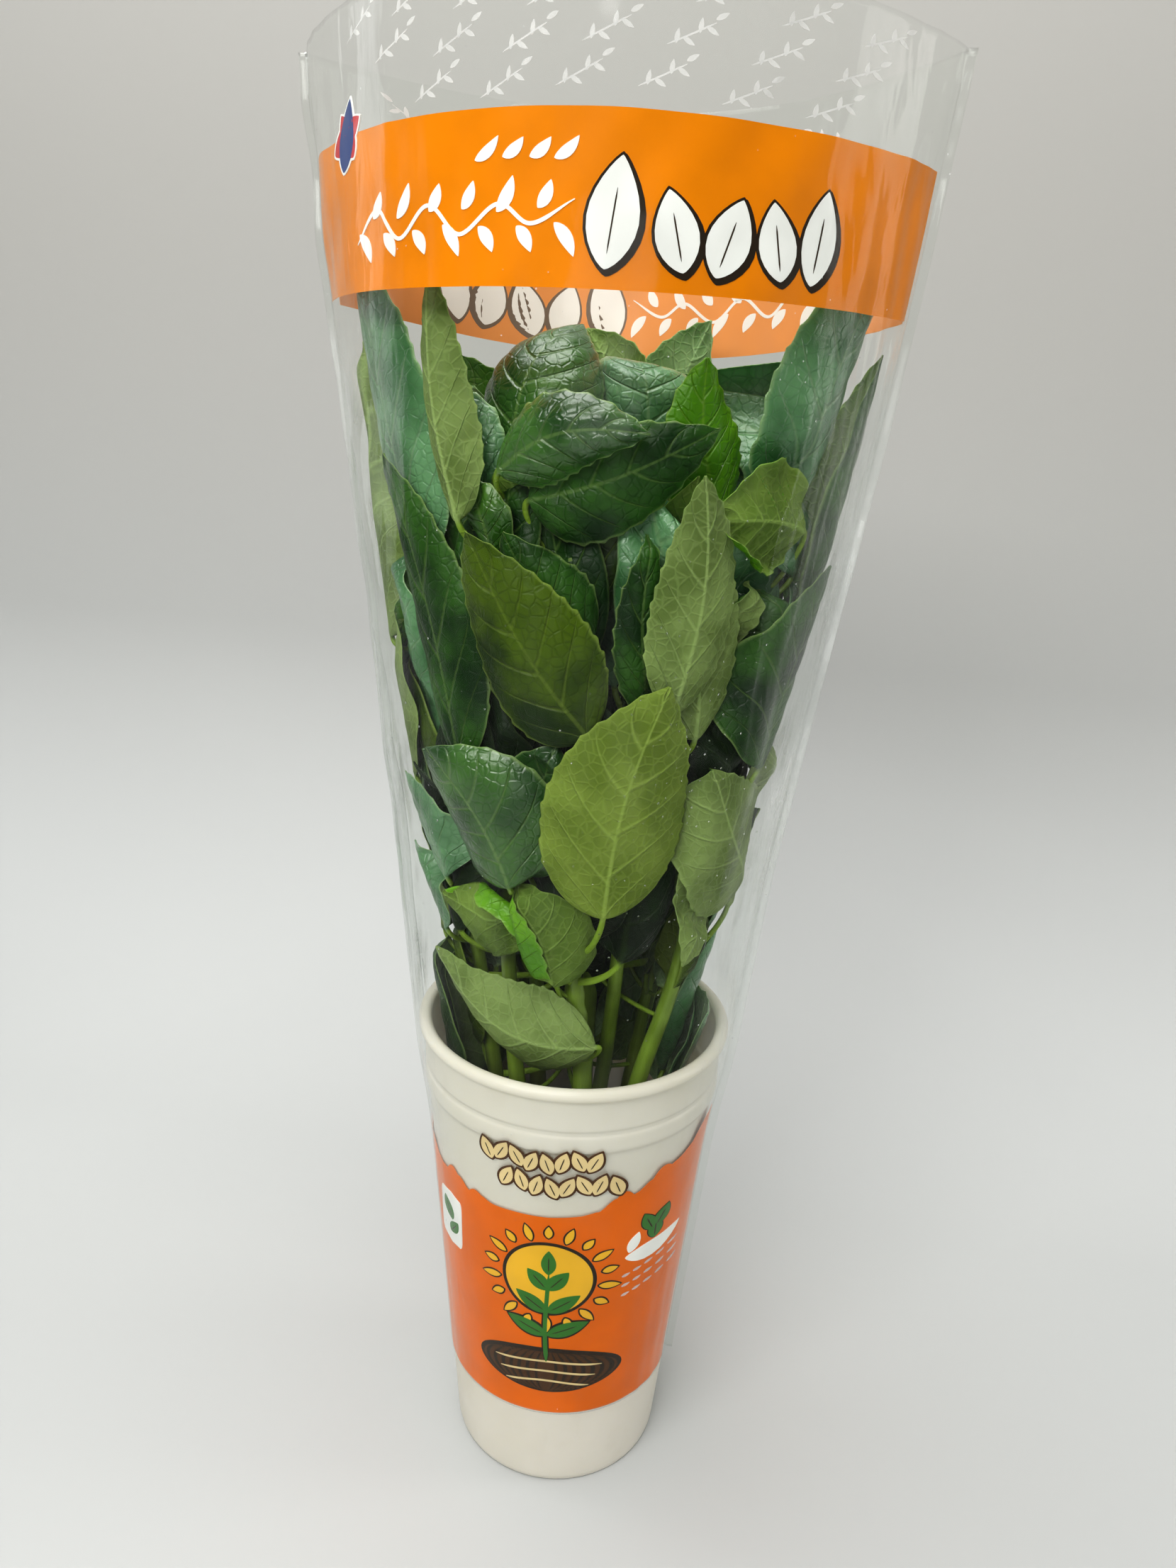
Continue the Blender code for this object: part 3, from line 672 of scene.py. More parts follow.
def outline(u: Array) -> Array:
    """Share of the greatest half width at u from base 0 to tip 1: u^a (1 - u)^b over its maximum."""
    widest = BLADE_NEAR_POWER / (BLADE_NEAR_POWER + BLADE_FAR_POWER)
    most = widest**BLADE_NEAR_POWER * (1 - widest) ** BLADE_FAR_POWER
    return np.power(u, BLADE_NEAR_POWER) * np.power(1 - u, BLADE_FAR_POWER) / most


def smoothed(values: Array) -> Array:
    """Each value's mean with its four neighbours."""
    padded = np.pad(values, 1, mode="edge")
    return (values + padded[:-2, 1:-1] + padded[2:, 1:-1] + padded[1:-1, :-2] + padded[1:-1, 2:]) / 5


def read_between(values: Array, at: Array) -> Array:
    """Values along the first axis at fractional places, on a Catmull-Rom curve through them."""
    padded = np.concatenate([2 * values[:1] - values[1:2], values, 2 * values[-1:] - values[-2:-1]])
    span = np.minimum(at.astype(int), len(values) - 2)
    t = (at - span).reshape((-1,) + (1,) * (values.ndim - 1))
    before, start, end, after = (padded[span + k] for k in range(4))
    return 0.5 * (2 * start + (end - before) * t + (2 * before - 5 * start + 4 * end - after) * t**2
                  + (3 * start - before - 3 * end + after) * t**3)


def line_through(knots: Array, count: int) -> Array:
    """A smooth line through a few points, read at even parameters."""
    return read_between(knots, np.linspace(0, len(knots) - 1, count))


COARSE_ROWS = 60
COARSE_COLUMNS = 32
HALF_COLUMNS = np.array([0.03, 0.07, 0.13, 0.21, 0.31, 0.42, 0.53, 0.64, 0.74, 0.83, 0.9, 0.95, 0.98, 1])
COLUMNS = np.concatenate([-HALF_COLUMNS[::-1], [0.0], HALF_COLUMNS])
ROW_LENGTH = 0.75 * MM
TOOTH_PITCH = 5.2 * MM
TOOTH_DEPTH = 0.95 * MM
VEIN_PAIRS = 5.2
VEIN_SWEEP = 0.42
VEIN_CURVE = 1.2
VEIN_FADE = 0.6
VEIN_STAGGER = 0.16
SECTION_HALF_STEPS = 200
FEWEST_ROWS = 44
MOST_ROWS = 120
HIDDEN_LEAF_ROWS = 34
PETIOLE_DEPTH = 0.3 * MM
SHEET = 0.17 * MM
RIB = 0.5 * MM
RIB_WIDTH = 0.95 * MM
PETIOLE_HALF_THICKNESS = 0.75 * MM


@dataclass(frozen=True)
class Leaf:
    """A leaf by the two ends of its blade: each is (azimuth, height in mm, inset in mm).

    The inset is how far the blade lies inside the room. node_z is the height in mm at which it
    leaves its stem, width its greatest width in mm, bow how far the middle of the midrib lies
    sideways in mm, and cup how many degrees each edge turns inwards. roll is how many degrees each
    edge's rim curls back outwards, quilt the height in mm of the domes between the side veins, and
    wave that of the edge's waves. arch is how much further in the tip lies in mm, and sink how much
    lower, both on a parabola. A roll runs between the two shares of the half width in fold.
    """

    name: str
    stem: str
    node_z: float
    base: Place
    tip: Place
    width: float
    side: Side
    finish: LeafFinish
    bow: float = 0.0
    cup: float = 30.0
    roll: Spot = (0.0, 0.0)
    quilt: float = 0.35
    wave: float = 0.5
    arch: float = 0.0
    sink: float = 0.0
    fold: Spot = (0.42, 1.0)
    seed: int = 0
    fine: bool = True

    def columns(self) -> Array:
        """Shares of the half width at which the mesh has columns: half as many on a hidden leaf."""
        return COLUMNS if self.fine else COLUMNS[::2]

    def length(self) -> float:
        """The midrib's length in metres, on the unrolled wall."""
        return float(np.hypot(*self.along()[0]))

    def along(self) -> tuple[Array, float]:
        """The midrib on the unrolled wall, and the wall's radius there."""
        (azimuth_0, z_0, inset_0), (azimuth_1, z_1, inset_1) = self.base, self.tip
        middle = 0.5 * (azimuth_0 + azimuth_1)
        radius = room_radius(middle, 0.5 * (z_0 + z_1) * MM) - 0.5 * (inset_0 + inset_1) * MM
        return np.array([math.radians(azimuth_1 - azimuth_0) * radius, (z_1 - z_0) * MM]), float(radius)

    def lie(self, u: Array, out: Array, deep: Array) -> tuple[Array, Array, Array]:
        """Azimuth, height and inset of points of the blade.

        The blade is drawn on the unrolled wall along the midrib, which is a half sine bow.

        Args:
            u: Place along the midrib, (rows, 1).
            out: Distance sideways from the midrib, (rows, columns).
            deep: Distance inwards from the midrib, (rows, columns).

        Returns:
            The three, (rows, columns) each.
        """
        along, radius = self.along()
        length = self.length()
        forward = along / length
        side = np.array([-forward[1], forward[0]])
        bend = self.bow * MM
        slope = bend * math.pi * np.cos(math.pi * u) / length
        square = np.hypot(1, slope)
        run = u * length - out * slope / square
        off = bend * np.sin(math.pi * u) + out / square
        start = math.radians(self.base[0]) * radius
        azimuth = np.degrees((start + run * forward[0] + off * side[0]) / radius)
        z = self.base[1] * MM + run * forward[1] + off * side[1] - self.sink * MM * u**2
        inset = (self.base[2] + (self.tip[2] - self.base[2]) * u + self.arch * u**2) * MM + deep
        return azimuth, z, inset

    def half_width(self, u: Array) -> Array:
        """Half the blade's width in metres at u, no narrower than its petiole or its tip."""
        half = 0.5 * self.width * MM * outline(u)
        return np.maximum(half, np.where(u < 0.5, PETIOLE_HALF_WIDTH, TIP_HALF_WIDTH))

    def pushed_in(self, deepest: Array) -> Array:
        """How much further in the blade lies because of the leaves outside it, on a coarse grid.

        Args:
            deepest: The greatest inset so far by height and azimuth, which takes this blade's.

        Returns:
            The push, (COARSE_ROWS + 1, COARSE_COLUMNS + 1).
        """
        u = np.linspace(0, 1, COARSE_ROWS + 1)[:, None]
        v = np.linspace(-1, 1, COARSE_COLUMNS + 1)[None, :]
        half, turn = self.half_width(u), math.radians(self.cup)
        out, deep = half * np.sin(turn * v) / turn, half * (1 - np.cos(turn * v)) / turn
        azimuth, z, inset = self.lie(u, out, deep)
        column = np.floor(azimuth * MAP_AZIMUTHS / 360).astype(int)
        row = np.clip((z / MAP_STEP_Z).astype(int), 1, MAP_ROWS - 2)
        push = np.zeros_like(inset)
        for down in (-1, 0, 1):
            for aside in (-1, 0, 1):
                needed = deepest[row + down, (column + aside) % MAP_AZIMUTHS] + LAYER_GAP
                push = np.maximum(push, needed - inset)
        spread = push
        for _ in range(SMOOTHING_ROUNDS):
            spread = np.maximum(push, smoothed(spread))
        stiffness = np.clip(1 - half / STIFF_HALF_WIDTH, 0, 1)
        spread = spread + stiffness * (spread.max(axis=1, keepdims=True) - spread)
        np.maximum.at(deepest, (row, column % MAP_AZIMUTHS), inset + spread)
        return spread

    def section(self) -> tuple[Array, Array]:
        """Sideways and inward places of the columns, as shares of the half width.

        The slope's angle grows evenly to the cup's at each edge, less the roll's over the outer
        half; the places are the sums of its cosine and its sine from the midrib outwards.
        """
        v = np.linspace(-1, 1, 2 * SECTION_HALF_STEPS + 1)
        left, right = (math.radians(value) for value in self.roll)
        angle = math.radians(self.cup) * v
        angle += left * smoothstep(*self.fold, -v) - right * smoothstep(*self.fold, v)
        out = np.cumsum(np.cos(angle)) * (v[1] - v[0])
        deep = np.cumsum(np.sin(angle)) * (v[1] - v[0])
        out, deep = out - out[SECTION_HALF_STEPS], deep - deep[SECTION_HALF_STEPS]
        columns = self.columns()
        return np.interp(columns, v, out), np.interp(columns, v, deep)

    def teeth(self, u: Array) -> Array:
        """Height of the edge's teeth at u, 0 to 1: a slow rise towards the tip and a quick fall."""
        turn = u * self.length() / TOOTH_PITCH + 0.13 * self.seed
        part = turn - np.floor(turn)
        saw = np.where(part < 0.78, (part / 0.78) ** 1.4, (1 - part) / 0.22)
        return saw * smoothstep(0.08, 0.22, u) * (1 - smoothstep(0.93, 1.0, u))

    def quilting(self, u: Array) -> Array:
        """Domes between the side veins, 0 to 1, from the pattern that the veins' shading uses."""
        v = self.columns()[None, :]
        across = np.abs(v)
        start = u - VEIN_SWEEP * across**VEIN_CURVE * (1 - VEIN_FADE * u)
        phase = VEIN_PAIRS * start + VEIN_STAGGER * (v > 0)
        dome = np.abs(np.sin(math.pi * phase)) ** 0.8
        inner = dome * smoothstep(0.02, 0.3, across) * (1 - across**5)
        return inner * smoothstep(0, 0.1, u) * (1 - smoothstep(0.85, 1, u))

    def blade(self, push: Array) -> tuple[Array, Array]:
        """The blade's middle surface in the world, and u at its rows."""
        rows = HIDDEN_LEAF_ROWS
        if self.fine:
            rows = int(np.clip(self.length() / ROW_LENGTH, FEWEST_ROWS, MOST_ROWS))
        even = np.linspace(0, 1, rows + 1)[:, None]
        u = even - 0.35 * np.sin(2 * math.pi * even) / (2 * math.pi)
        share_out, share_deep = self.section()
        half = self.half_width(u)
        flatten = smoothstep(0.0, 0.12, u) * (1 - 0.7 * smoothstep(0.88, 1.0, u))
        v = self.columns()[None, :]
        turn = math.radians(self.cup)
        plain_out, plain_deep = np.sin(turn * v) / turn, (1 - np.cos(turn * v)) / turn
        out = half * (plain_out + flatten * (share_out - plain_out))
        deep = half * (plain_deep + flatten * (share_deep - plain_deep))
        out = out + np.sign(v) * np.abs(v) ** 12 * self.teeth(u) * TOOTH_DEPTH * self.fine
        edge = ripple(self.seed + 11, u * self.length() / (26 * MM), np.sign(v) * 3.1)
        deep = deep + self.wave * MM * np.abs(v) ** 2.5 * edge * smoothstep(0.02, 0.2, u)
        raised = 1 if self.side is Side.UPPER else -1
        deep = deep - raised * self.quilt * MM * self.quilting(u)
        azimuth, z, inset = self.lie(u, out, deep)
        for _ in range(6):
            push = smoothed(push)
        push = read_between(push, u[:, 0] * COARSE_ROWS)
        push = read_between(push.T, (v[0] + 1) * 0.5 * COARSE_COLUMNS).T
        inset = inset + push
        return azimuth_point(azimuth, room_radius(azimuth, z) - inset, z), u

    def petiole(self, stem: Stem, blade: Array) -> Array:
        """The petiole's middle surface, a ribbon along a cubic curve from inside its stem.

        It leaves the stem outwards and arrives along the midrib. The ribbon's direction across is
        carried back from the blade along the curve, and stays square to it.
        """
        path = stem.path()
        centre = path[int(np.argmin(np.abs(path[:, 2] - self.node_z * MM)))]
        columns = self.columns()
        middle = len(columns) // 2
        base = blade[0, middle]
        tangent = blade[2, middle] - base
        tangent /= np.linalg.norm(tangent)
        outward = (base - centre) * (1, 1, 0)
        outward /= np.linalg.norm(outward)
        start = centre + outward * PETIOLE_DEPTH
        reach = np.linalg.norm(base - start) * PETIOLE_SAG
        t = np.linspace(0, 1, PETIOLE_STEPS + 1)[:, None]
        spine = ((1 - t) ** 3 * start + 3 * (1 - t) ** 2 * t * (start + outward * reach)
                 + 3 * (1 - t) * t**2 * (base - tangent * reach) + t**3 * base)
        along = np.gradient(spine, axis=0)
        along /= np.linalg.norm(along, axis=1, keepdims=True)
        across = blade[0, -1] - blade[0, 0]
        sideways = []
        for direction in along[::-1]:
            across = across - direction * (across @ direction)
            across = across / np.linalg.norm(across)
            sideways.insert(0, across)
        half = PETIOLE_HALF_WIDTH * (1 + 0.5 * (1 - t[:, :, None]) ** 2)
        return spine[:-1, None] + (half * columns[None, :, None] * np.array(sideways)[:, None])[:-1]

    def build(self, stem: Stem, deepest: Array, material: Material) -> Piece:
        """Make the leaf as one closed piece.

        The sheet is SHEET either side of its middle surface, a rib swells below the midrib, and
        both turn into the petiole's round section towards the base.

        Args:
            stem: The stem it grows from.
            deepest: The map of insets, brought up to date.
            material: Its finish.

        Returns:
            The piece.
        """
        blade, u = self.blade(self.pushed_in(deepest))
        petiole = self.petiole(stem, blade)
        grid = np.concatenate([petiole, blade])
        u_all = np.concatenate([np.linspace(-0.3, -0.02, len(petiole))[:, None], u])
        v = self.columns()[None, :]
        aside = np.abs(v) * self.half_width(np.clip(u_all, 0, 1))
        round_part = PETIOLE_HALF_THICKNESS * np.sqrt(1 - 0.98 * v**2)
        stalk = 1 - smoothstep(0.0, 0.07, u_all)
        rib = RIB * np.clip(1 - u_all, 0, 1) ** 0.7 * np.exp(-((aside / RIB_WIDTH) ** 2))
        thin = SHEET * (1 - 0.45 * v**4) * np.ones_like(u_all)
        above = stalk * round_part + (1 - stalk) * thin
        below = stalk * round_part + (1 - stalk) * (thin + rib)
        out, back = (above, below) if self.side is Side.UPPER else (below, above)
        place = np.stack(np.broadcast_arrays(u_all, v * (u_all >= 0), aside * 100), axis=-1)
        upper = np.full(place.shape[:2], float(self.side.value))
        skin = Skin()
        skin.slab(grid, out, back, leaf_place=place, upper_side=(upper, 1 - upper))
        return skin.piece(self.name, material)


STEMS = (
    Stem("stem_front", 3.4, 1.5, ((22, 22, 113), (18, 28, 158), (9, 31, 196), (-4, 30, 250),
         (-7, 33, 333))),
    Stem("stem_right", 3.0, 1.4, ((48, 24, 113), (54, 32, 157), (68, 38, 197), (78, 42, 260),
         (80, 42, 325))),
    Stem("stem_front_left", 3.0, 1.4, ((-30, 20, 113), (-36, 27, 170), (-34, 33, 240), (-30, 36, 335))),
    Stem("stem_left", 2.8, 1.3, ((-80, 22, 113), (-82, 32, 180), (-76, 42, 250), (-72, 46, 316))),
    Stem("stem_middle", 3.2, 1.5, ((60, 5, 113), (50, 7, 200), (30, 10, 280), (20, 12, 328))),
    Stem("stem_front_right", 2.6, 1.2, ((44, 12, 113), (46, 20, 170), (38, 30, 230), (38, 34, 290),
         (44, 34, 330))),
    Stem("stem_back_left", 3.0, 1.4, ((-135, 20, 113), (-138, 30, 190), (-130, 36, 260),
         (-132, 38, 328))),
    Stem("stem_back", 3.2, 1.4, ((176, 18, 113), (180, 27, 190), (174, 32, 270), (178, 33, 337))),
    Stem("stem_back_right", 2.8, 1.3, ((126, 20, 113), (128, 32, 190), (122, 38, 260), (120, 42, 326))),
)

# Outermost first: each leaf that covers the same place as an earlier one lies behind it.
LEAVES = (
    Leaf("leaf_front_centre", "stem_front", 205, (19, 223, 6), (33, 292, 1.5), 48, UNDER, OLIVE, 3, 25,
         wave=0.8),
    Leaf("leaf_front_tall", "stem_front_right", 272, (37, 284, 6), (37, 346, 1.5), 27, UNDER, SAGE, -4,
         35),
    Leaf("leaf_left_pale", "stem_front_left", 321, (-33, 331, 6), (-38, 393, 2), 23, UNDER, SAGE, 4, 60),
    Leaf("leaf_low_front", "stem_front", 166, (20, 177, 8), (-51, 200, 2), 36, UNDER, SAGE, 8, 60),
    Leaf("leaf_left_centre", "stem_front", 262, (11, 276, 8), (-26, 329, 2), 37, UP, OLIVE, 3, 25,
         quilt=0.5),
    Leaf("leaf_right_low", "stem_right", 212, (88, 222, 5), (50, 267, 2), 42, UNDER, SAGE, 4, 20,
         wave=1.2),
    Leaf("leaf_right_hanging", "stem_right", 246, (70, 242, 10), (49, 205, 2), 26, UNDER, SAGE, 3, 20),
    Leaf("leaf_left_fan", "stem_front_left", 226, (-15, 229, 7), (-46, 266, 2), 50, UP, WAXY, -4, 40,
         wave=1.8),
    Leaf("leaf_small_front", "stem_front", 182, (1, 196, 10), (-14, 229, 4), 36, UNDER, FRESH_AND_GLOW, -3, 45,
         (0, 205), fold=(0.35, 0.6)),
    Leaf("leaf_crossing_top", "stem_front_left", 334, (-21, 344, 10), (23, 355, 4), 25, UP, WAXY, 5, 60,
         quilt=0.8),
    Leaf("leaf_right_curled", "stem_right", 308, (79, 331, 9), (44, 334, 5), 33, UNDER, FRESH_AND_GLOW, -2, 50,
         (60, 130), 1.6, 2.6),
    Leaf("leaf_tall_twin", "stem_front_right", 260, (50, 274, 11), (51, 330, 6), 26, UNDER, SAGE, 2, 25),
    Leaf("leaf_left_long", "stem_front_left", 250, (-38, 262, 8), (-63, 346, 4), 32, UP, DEEP, -3, 30,
         quilt=0.6),
    Leaf("leaf_left_tall", "stem_left", 302, (-56, 316, 10), (-76, 404, 4), 42, UP, BLUE_AND_SHEEN, 3, 20,
         quilt=0.6),
    Leaf("leaf_right_long", "stem_right", 250, (75, 263, 5), (88, 321, 2), 40, UP, DEEP, 2, 20),
    Leaf("leaf_small_left", "stem_front", 190, (-12, 208, 10), (-48, 219, 5), 33, UNDER, FRESH_AND_GLOW, -3, 35,
         (190, 0), fold=(0.42, 0.8)),
    Leaf("leaf_crossing_dark", "stem_front", 322, (-14, 337, 16), (44, 357, 8), 30, UP, DEEP, -3,
         quilt=0.6),
    Leaf("leaf_left_edge", "stem_left", 288, (-88, 290, 3), (-90, 376, 0.5), 36, UNDER, SAGE, 3, 75),
    Leaf("leaf_right_edge", "stem_right", 294, (97, 300, 3), (94, 378, 0.5), 32, UP, DEEP, -3, 60),
    Leaf("leaf_right_tall", "stem_right", 322, (79, 337, 13), (86, 404, 4), 40, UP, BLUE_AND_SHEEN, 4, 20,
         quilt=0.6),
    Leaf("leaf_tall_shadow", "stem_front_right", 260, (34, 280, 13), (28, 330, 10), 16, UP, DEEP, 3),
    Leaf("leaf_right_fan", "stem_front", 216, (-12, 230, 10), (0, 272, 6), 38, UP, WAXY, 3, 35, wave=1.4),
    Leaf("leaf_middle_left", "stem_front", 290, (10, 301, 14), (-19, 329, 9), 26, UP, DEEP, 3, 35,
         quilt=0.6),
    Leaf("leaf_left_folded", "stem_front_left", 308, (-28, 323, 13), (-38, 341, 8), 17, UP, SAGE, -3, 50,
         quilt=0.6),
    Leaf("leaf_small_curled", "stem_front_right", 286, (60, 296, 13), (70, 317, 9), 14, UNDER, SAGE, 3,
         50, (120, 120)),
    Leaf("leaf_quilted_left", "stem_left", 306, (-38, 337, 18), (-57, 364, 10), 24, UP, BLUE_AND_SHEEN, -3, 50,
         quilt=1.0, arch=8),
    Leaf("leaf_backlit", "stem_front_right", 322, (58, 335, 20), (46, 374, 18), 24, UP, FRESH_AND_GLOW, 3, 25),
    Leaf("leaf_upper_dark", "stem_front_left", 322, (-31, 346, 24), (-23, 408, 18), 60, UP, WAXY, 0, 50,
         quilt=1.0, arch=30, sink=26),
    Leaf("leaf_low_left", "stem_left", 212, (-54, 222, 9), (-76, 250, 3), 26, UP, BLUE_AND_SHEEN, -2, 20),
    Leaf("leaf_low_left_edge", "stem_left", 190, (-66, 200, 9), (-84, 224, 2), 22, UP, BLUE_AND_SHEEN, -2, 20),
    Leaf("leaf_domed", "stem_middle", 318, (40, 346, 36), (40, 412, 20), 54, UP, BLUE_AND_SHEEN, 2, 45, quilt=1.0,
         arch=34, sink=40),
    Leaf("leaf_quilted_right", "stem_right", 322, (92, 340, 20), (72, 370, 14), 28, UP, BLUE_AND_SHEEN, 1, 40,
         quilt=1.0, arch=12),
    Leaf("leaf_in_cup", "stem_back_right", 146, (122, 150, 8), (78, 178, 3), 34, UP, BLUE_AND_SHEEN, 2, 25),
    # The back of the bunch.
    Leaf("leaf_back_centre", "stem_back", 250, (182, 264, 6), (170, 330, 2), 40, UNDER, OLIVE, 3, 25),
    Leaf("leaf_back_high", "stem_back", 326, (170, 340, 8), (150, 388, 3), 34, UP, BLUE_AND_SHEEN, -4, 35,
         quilt=0.9, arch=8),
    Leaf("leaf_back_left_high", "stem_back_left", 310, (-140, 322, 8), (-116, 376, 3), 34, UNDER, SAGE, 4),
    Leaf("leaf_back_left_mid", "stem_back_left", 240, (-136, 252, 8), (-152, 312, 3), 38, UP, DEEP, -3),
    Leaf("leaf_back_left_side", "stem_back_left", 256, (-122, 268, 8), (-98, 322, 3), 32, UP, BLUE_AND_SHEEN, 3),
    Leaf("leaf_back_right_high", "stem_back_right", 308, (126, 320, 8), (112, 372, 3), 34, UNDER, SAGE,
         -3),
    Leaf("leaf_back_right_mid", "stem_back_right", 240, (131, 252, 8), (151, 306, 3), 35, UP, DEEP, 3),
    Leaf("leaf_back_right_side", "stem_back_right", 244, (113, 255, 9), (104, 302, 5), 27, UP, OLIVE, -3),
    Leaf("leaf_back_low", "stem_back", 196, (184, 206, 8), (168, 258, 3), 36, UP, OLIVE, 3),
    Leaf("leaf_back_left_low", "stem_back_left", 192, (-138, 200, 8), (-112, 246, 3), 30, UNDER, OLIVE, 3),
    Leaf("leaf_back_right_low", "stem_back_right", 190, (120, 200, 8), (100, 242, 3), 28, UNDER, SAGE, -3),
    Leaf("leaf_back_left_top", "stem_back_left", 322, (-150, 338, 16), (-172, 384, 12), 32, UP, FRESH_AND_GLOW, 3,
         40, quilt=0.8),
    Leaf("leaf_back_crown", "stem_back", 334, (176, 352, 28), (200, 384, 22), 30, UP, DEEP, 2, 45,
         quilt=0.8),
)

# Rings of leaves deep in the bunch: height of their bases in mm, how many, and their inset in mm.
INNER_RINGS = (
    (126, 7, 5), (150, 8, 12), (178, 9, 8), (206, 10, 8), (234, 10, 8), (262, 10, 9), (290, 10, 10),
    (306, 10, 14), (150, 5, 40), (188, 5, 38), (236, 5, 38), (284, 5, 38), (302, 5, 36),
)


def inner_leaves() -> tuple[Leaf, ...]:
    """Leaves that fill the heart of the bunch, which have no node of their own.

    Each ring's leaves stand evenly round the axis, turned from the ring below, with seeded
    differences. Each grows from the stem whose foot is nearest in azimuth.
    """
    draw = np.random.default_rng(8)
    feet = np.array([stem.places[1][0] for stem in STEMS])
    made = [
        Leaf("inner_right", "stem_right", 306, (86, 318, 9), (90, 388, 3), 40, UP, BLUE_AND_SHEEN, 2, 25,
             fine=False),
        Leaf("inner_right_low", "stem_right", 200, (88, 214, 5), (93, 274, 2), 34, UNDER, SAGE, 2, 25,
             fine=False),
        Leaf("inner_left", "stem_left", 240, (-86, 246, 5), (-82, 316, 2), 36, UNDER, SAGE, 2, 25,
             fine=False),
        Leaf("inner_left_low", "stem_left", 180, (-92, 190, 5), (-96, 244, 2), 32, UNDER, SAGE, 2, 25,
             fine=False),
    ]
    for ring, (z, count, inset) in enumerate(INNER_RINGS):
        for turn in range(count):
            azimuth = 360 * turn / count + 23 * ring + draw.uniform(-9, 9)
            if ring < 3:  # Round the cup's mouth only at the back and sides, so that the stems show.
                azimuth = 75 + 0.58 * (azimuth % 360)
            away = np.abs((feet - azimuth + 180) % 360 - 180)
            length, lean, width, bow = draw.uniform((50, -24, 32, -4), (66, 24, 42, 4))
            finish = (DEEP, BLUE_AND_SHEEN, DEEP, OLIVE)[int(draw.integers(4))]
            # Low leaves deep in the bunch or towards the front take the painted-shade finish: a dark
            # colour in place of the shade that falls between the outer leaves.
            if z < 270 and (inset > 20 or math.cos(math.radians(azimuth)) > 0.45):
                finish = PAINTED_SHADE
            made.append(Leaf(
                f"inner_{ring}_{turn}", STEMS[int(np.argmin(away))].name, max(z - 10, 116),
                (azimuth, z, inset), (azimuth + lean, z + length, inset - 4), width, UP, finish,
                bow, draw.uniform(20, 45), quilt=0.6, fine=False,
            ))
    return tuple(made)


@dataclass(frozen=True)
class SmallLeaf:
    """A young leaf of a growing tip, which stands free of the sleeve.

    It leaves its foot at a heading in degrees, starts at one elevation and ends at another, both
    in degrees, and each edge turns up by cup degrees.
    """

    foot: Place
    heading: float
    length: float
    width: float
    low: float
    high: float
    cup: float = 55.0

    def shape(self, skin: Skin, rows: int = 22) -> None:
        """Add the leaf to a skin.

        The midrib's elevation goes evenly from low to high, and its place is the sum of that
        direction's steps. A row across is an arc that turns up by cup at each edge.
        """
        u = np.linspace(0, 1, rows + 1)
        tilt = np.radians(self.low + (self.high - self.low) * u)
        heading = math.radians(self.heading)
        ahead = np.array([math.sin(heading), -math.cos(heading), 0])
        step = self.length * MM / rows
        steps = (np.cos(tilt)[:, None] * ahead + np.sin(tilt)[:, None] * (0, 0, 1)) * step
        spine = np.array(self.foot) + np.cumsum(steps, axis=0) - steps[:1]
        lift = np.cos(tilt)[:, None] * (0, 0, 1) - np.sin(tilt)[:, None] * ahead
        aside = np.cross(ahead, (0, 0, 1))
        half = np.maximum(0.5 * self.width * MM * outline(u), 0.25 * MM)[:, None]
        v = COLUMNS[None, ::2]
        turn = math.radians(self.cup)
        out, deep = half * np.sin(turn * v) / turn, half * (1 - np.cos(turn * v)) / turn
        phase = 5 * (u[:, None] - 0.26 * np.abs(v) ** 1.3)
        domes = np.abs(np.sin(math.pi * phase))
        deep = deep + 0.25 * MM * domes * smoothstep(0, 0.3, np.abs(v)) * (1 - np.abs(v) ** 4)
        grid = spine[:, None] + out[..., None] * aside + deep[..., None] * lift[:, None]
        if (grid_normals(grid)[rows // 2, v.shape[1] // 2] @ lift[rows // 2]) < 0:
            grid = grid[:, ::-1]
        place = np.stack(np.broadcast_arrays(u[:, None], v, np.abs(v) * half * 100), axis=-1)
        one = np.ones(place.shape[:2])
        rib = 0.3 * MM * np.exp(-((np.abs(v) * half / (0.5 * MM)) ** 2)) * (1 - u[:, None])
        skin.slab(grid, 0.15 * MM, 0.15 * MM + rib, leaf_place=place, upper_side=(one, 0 * one))


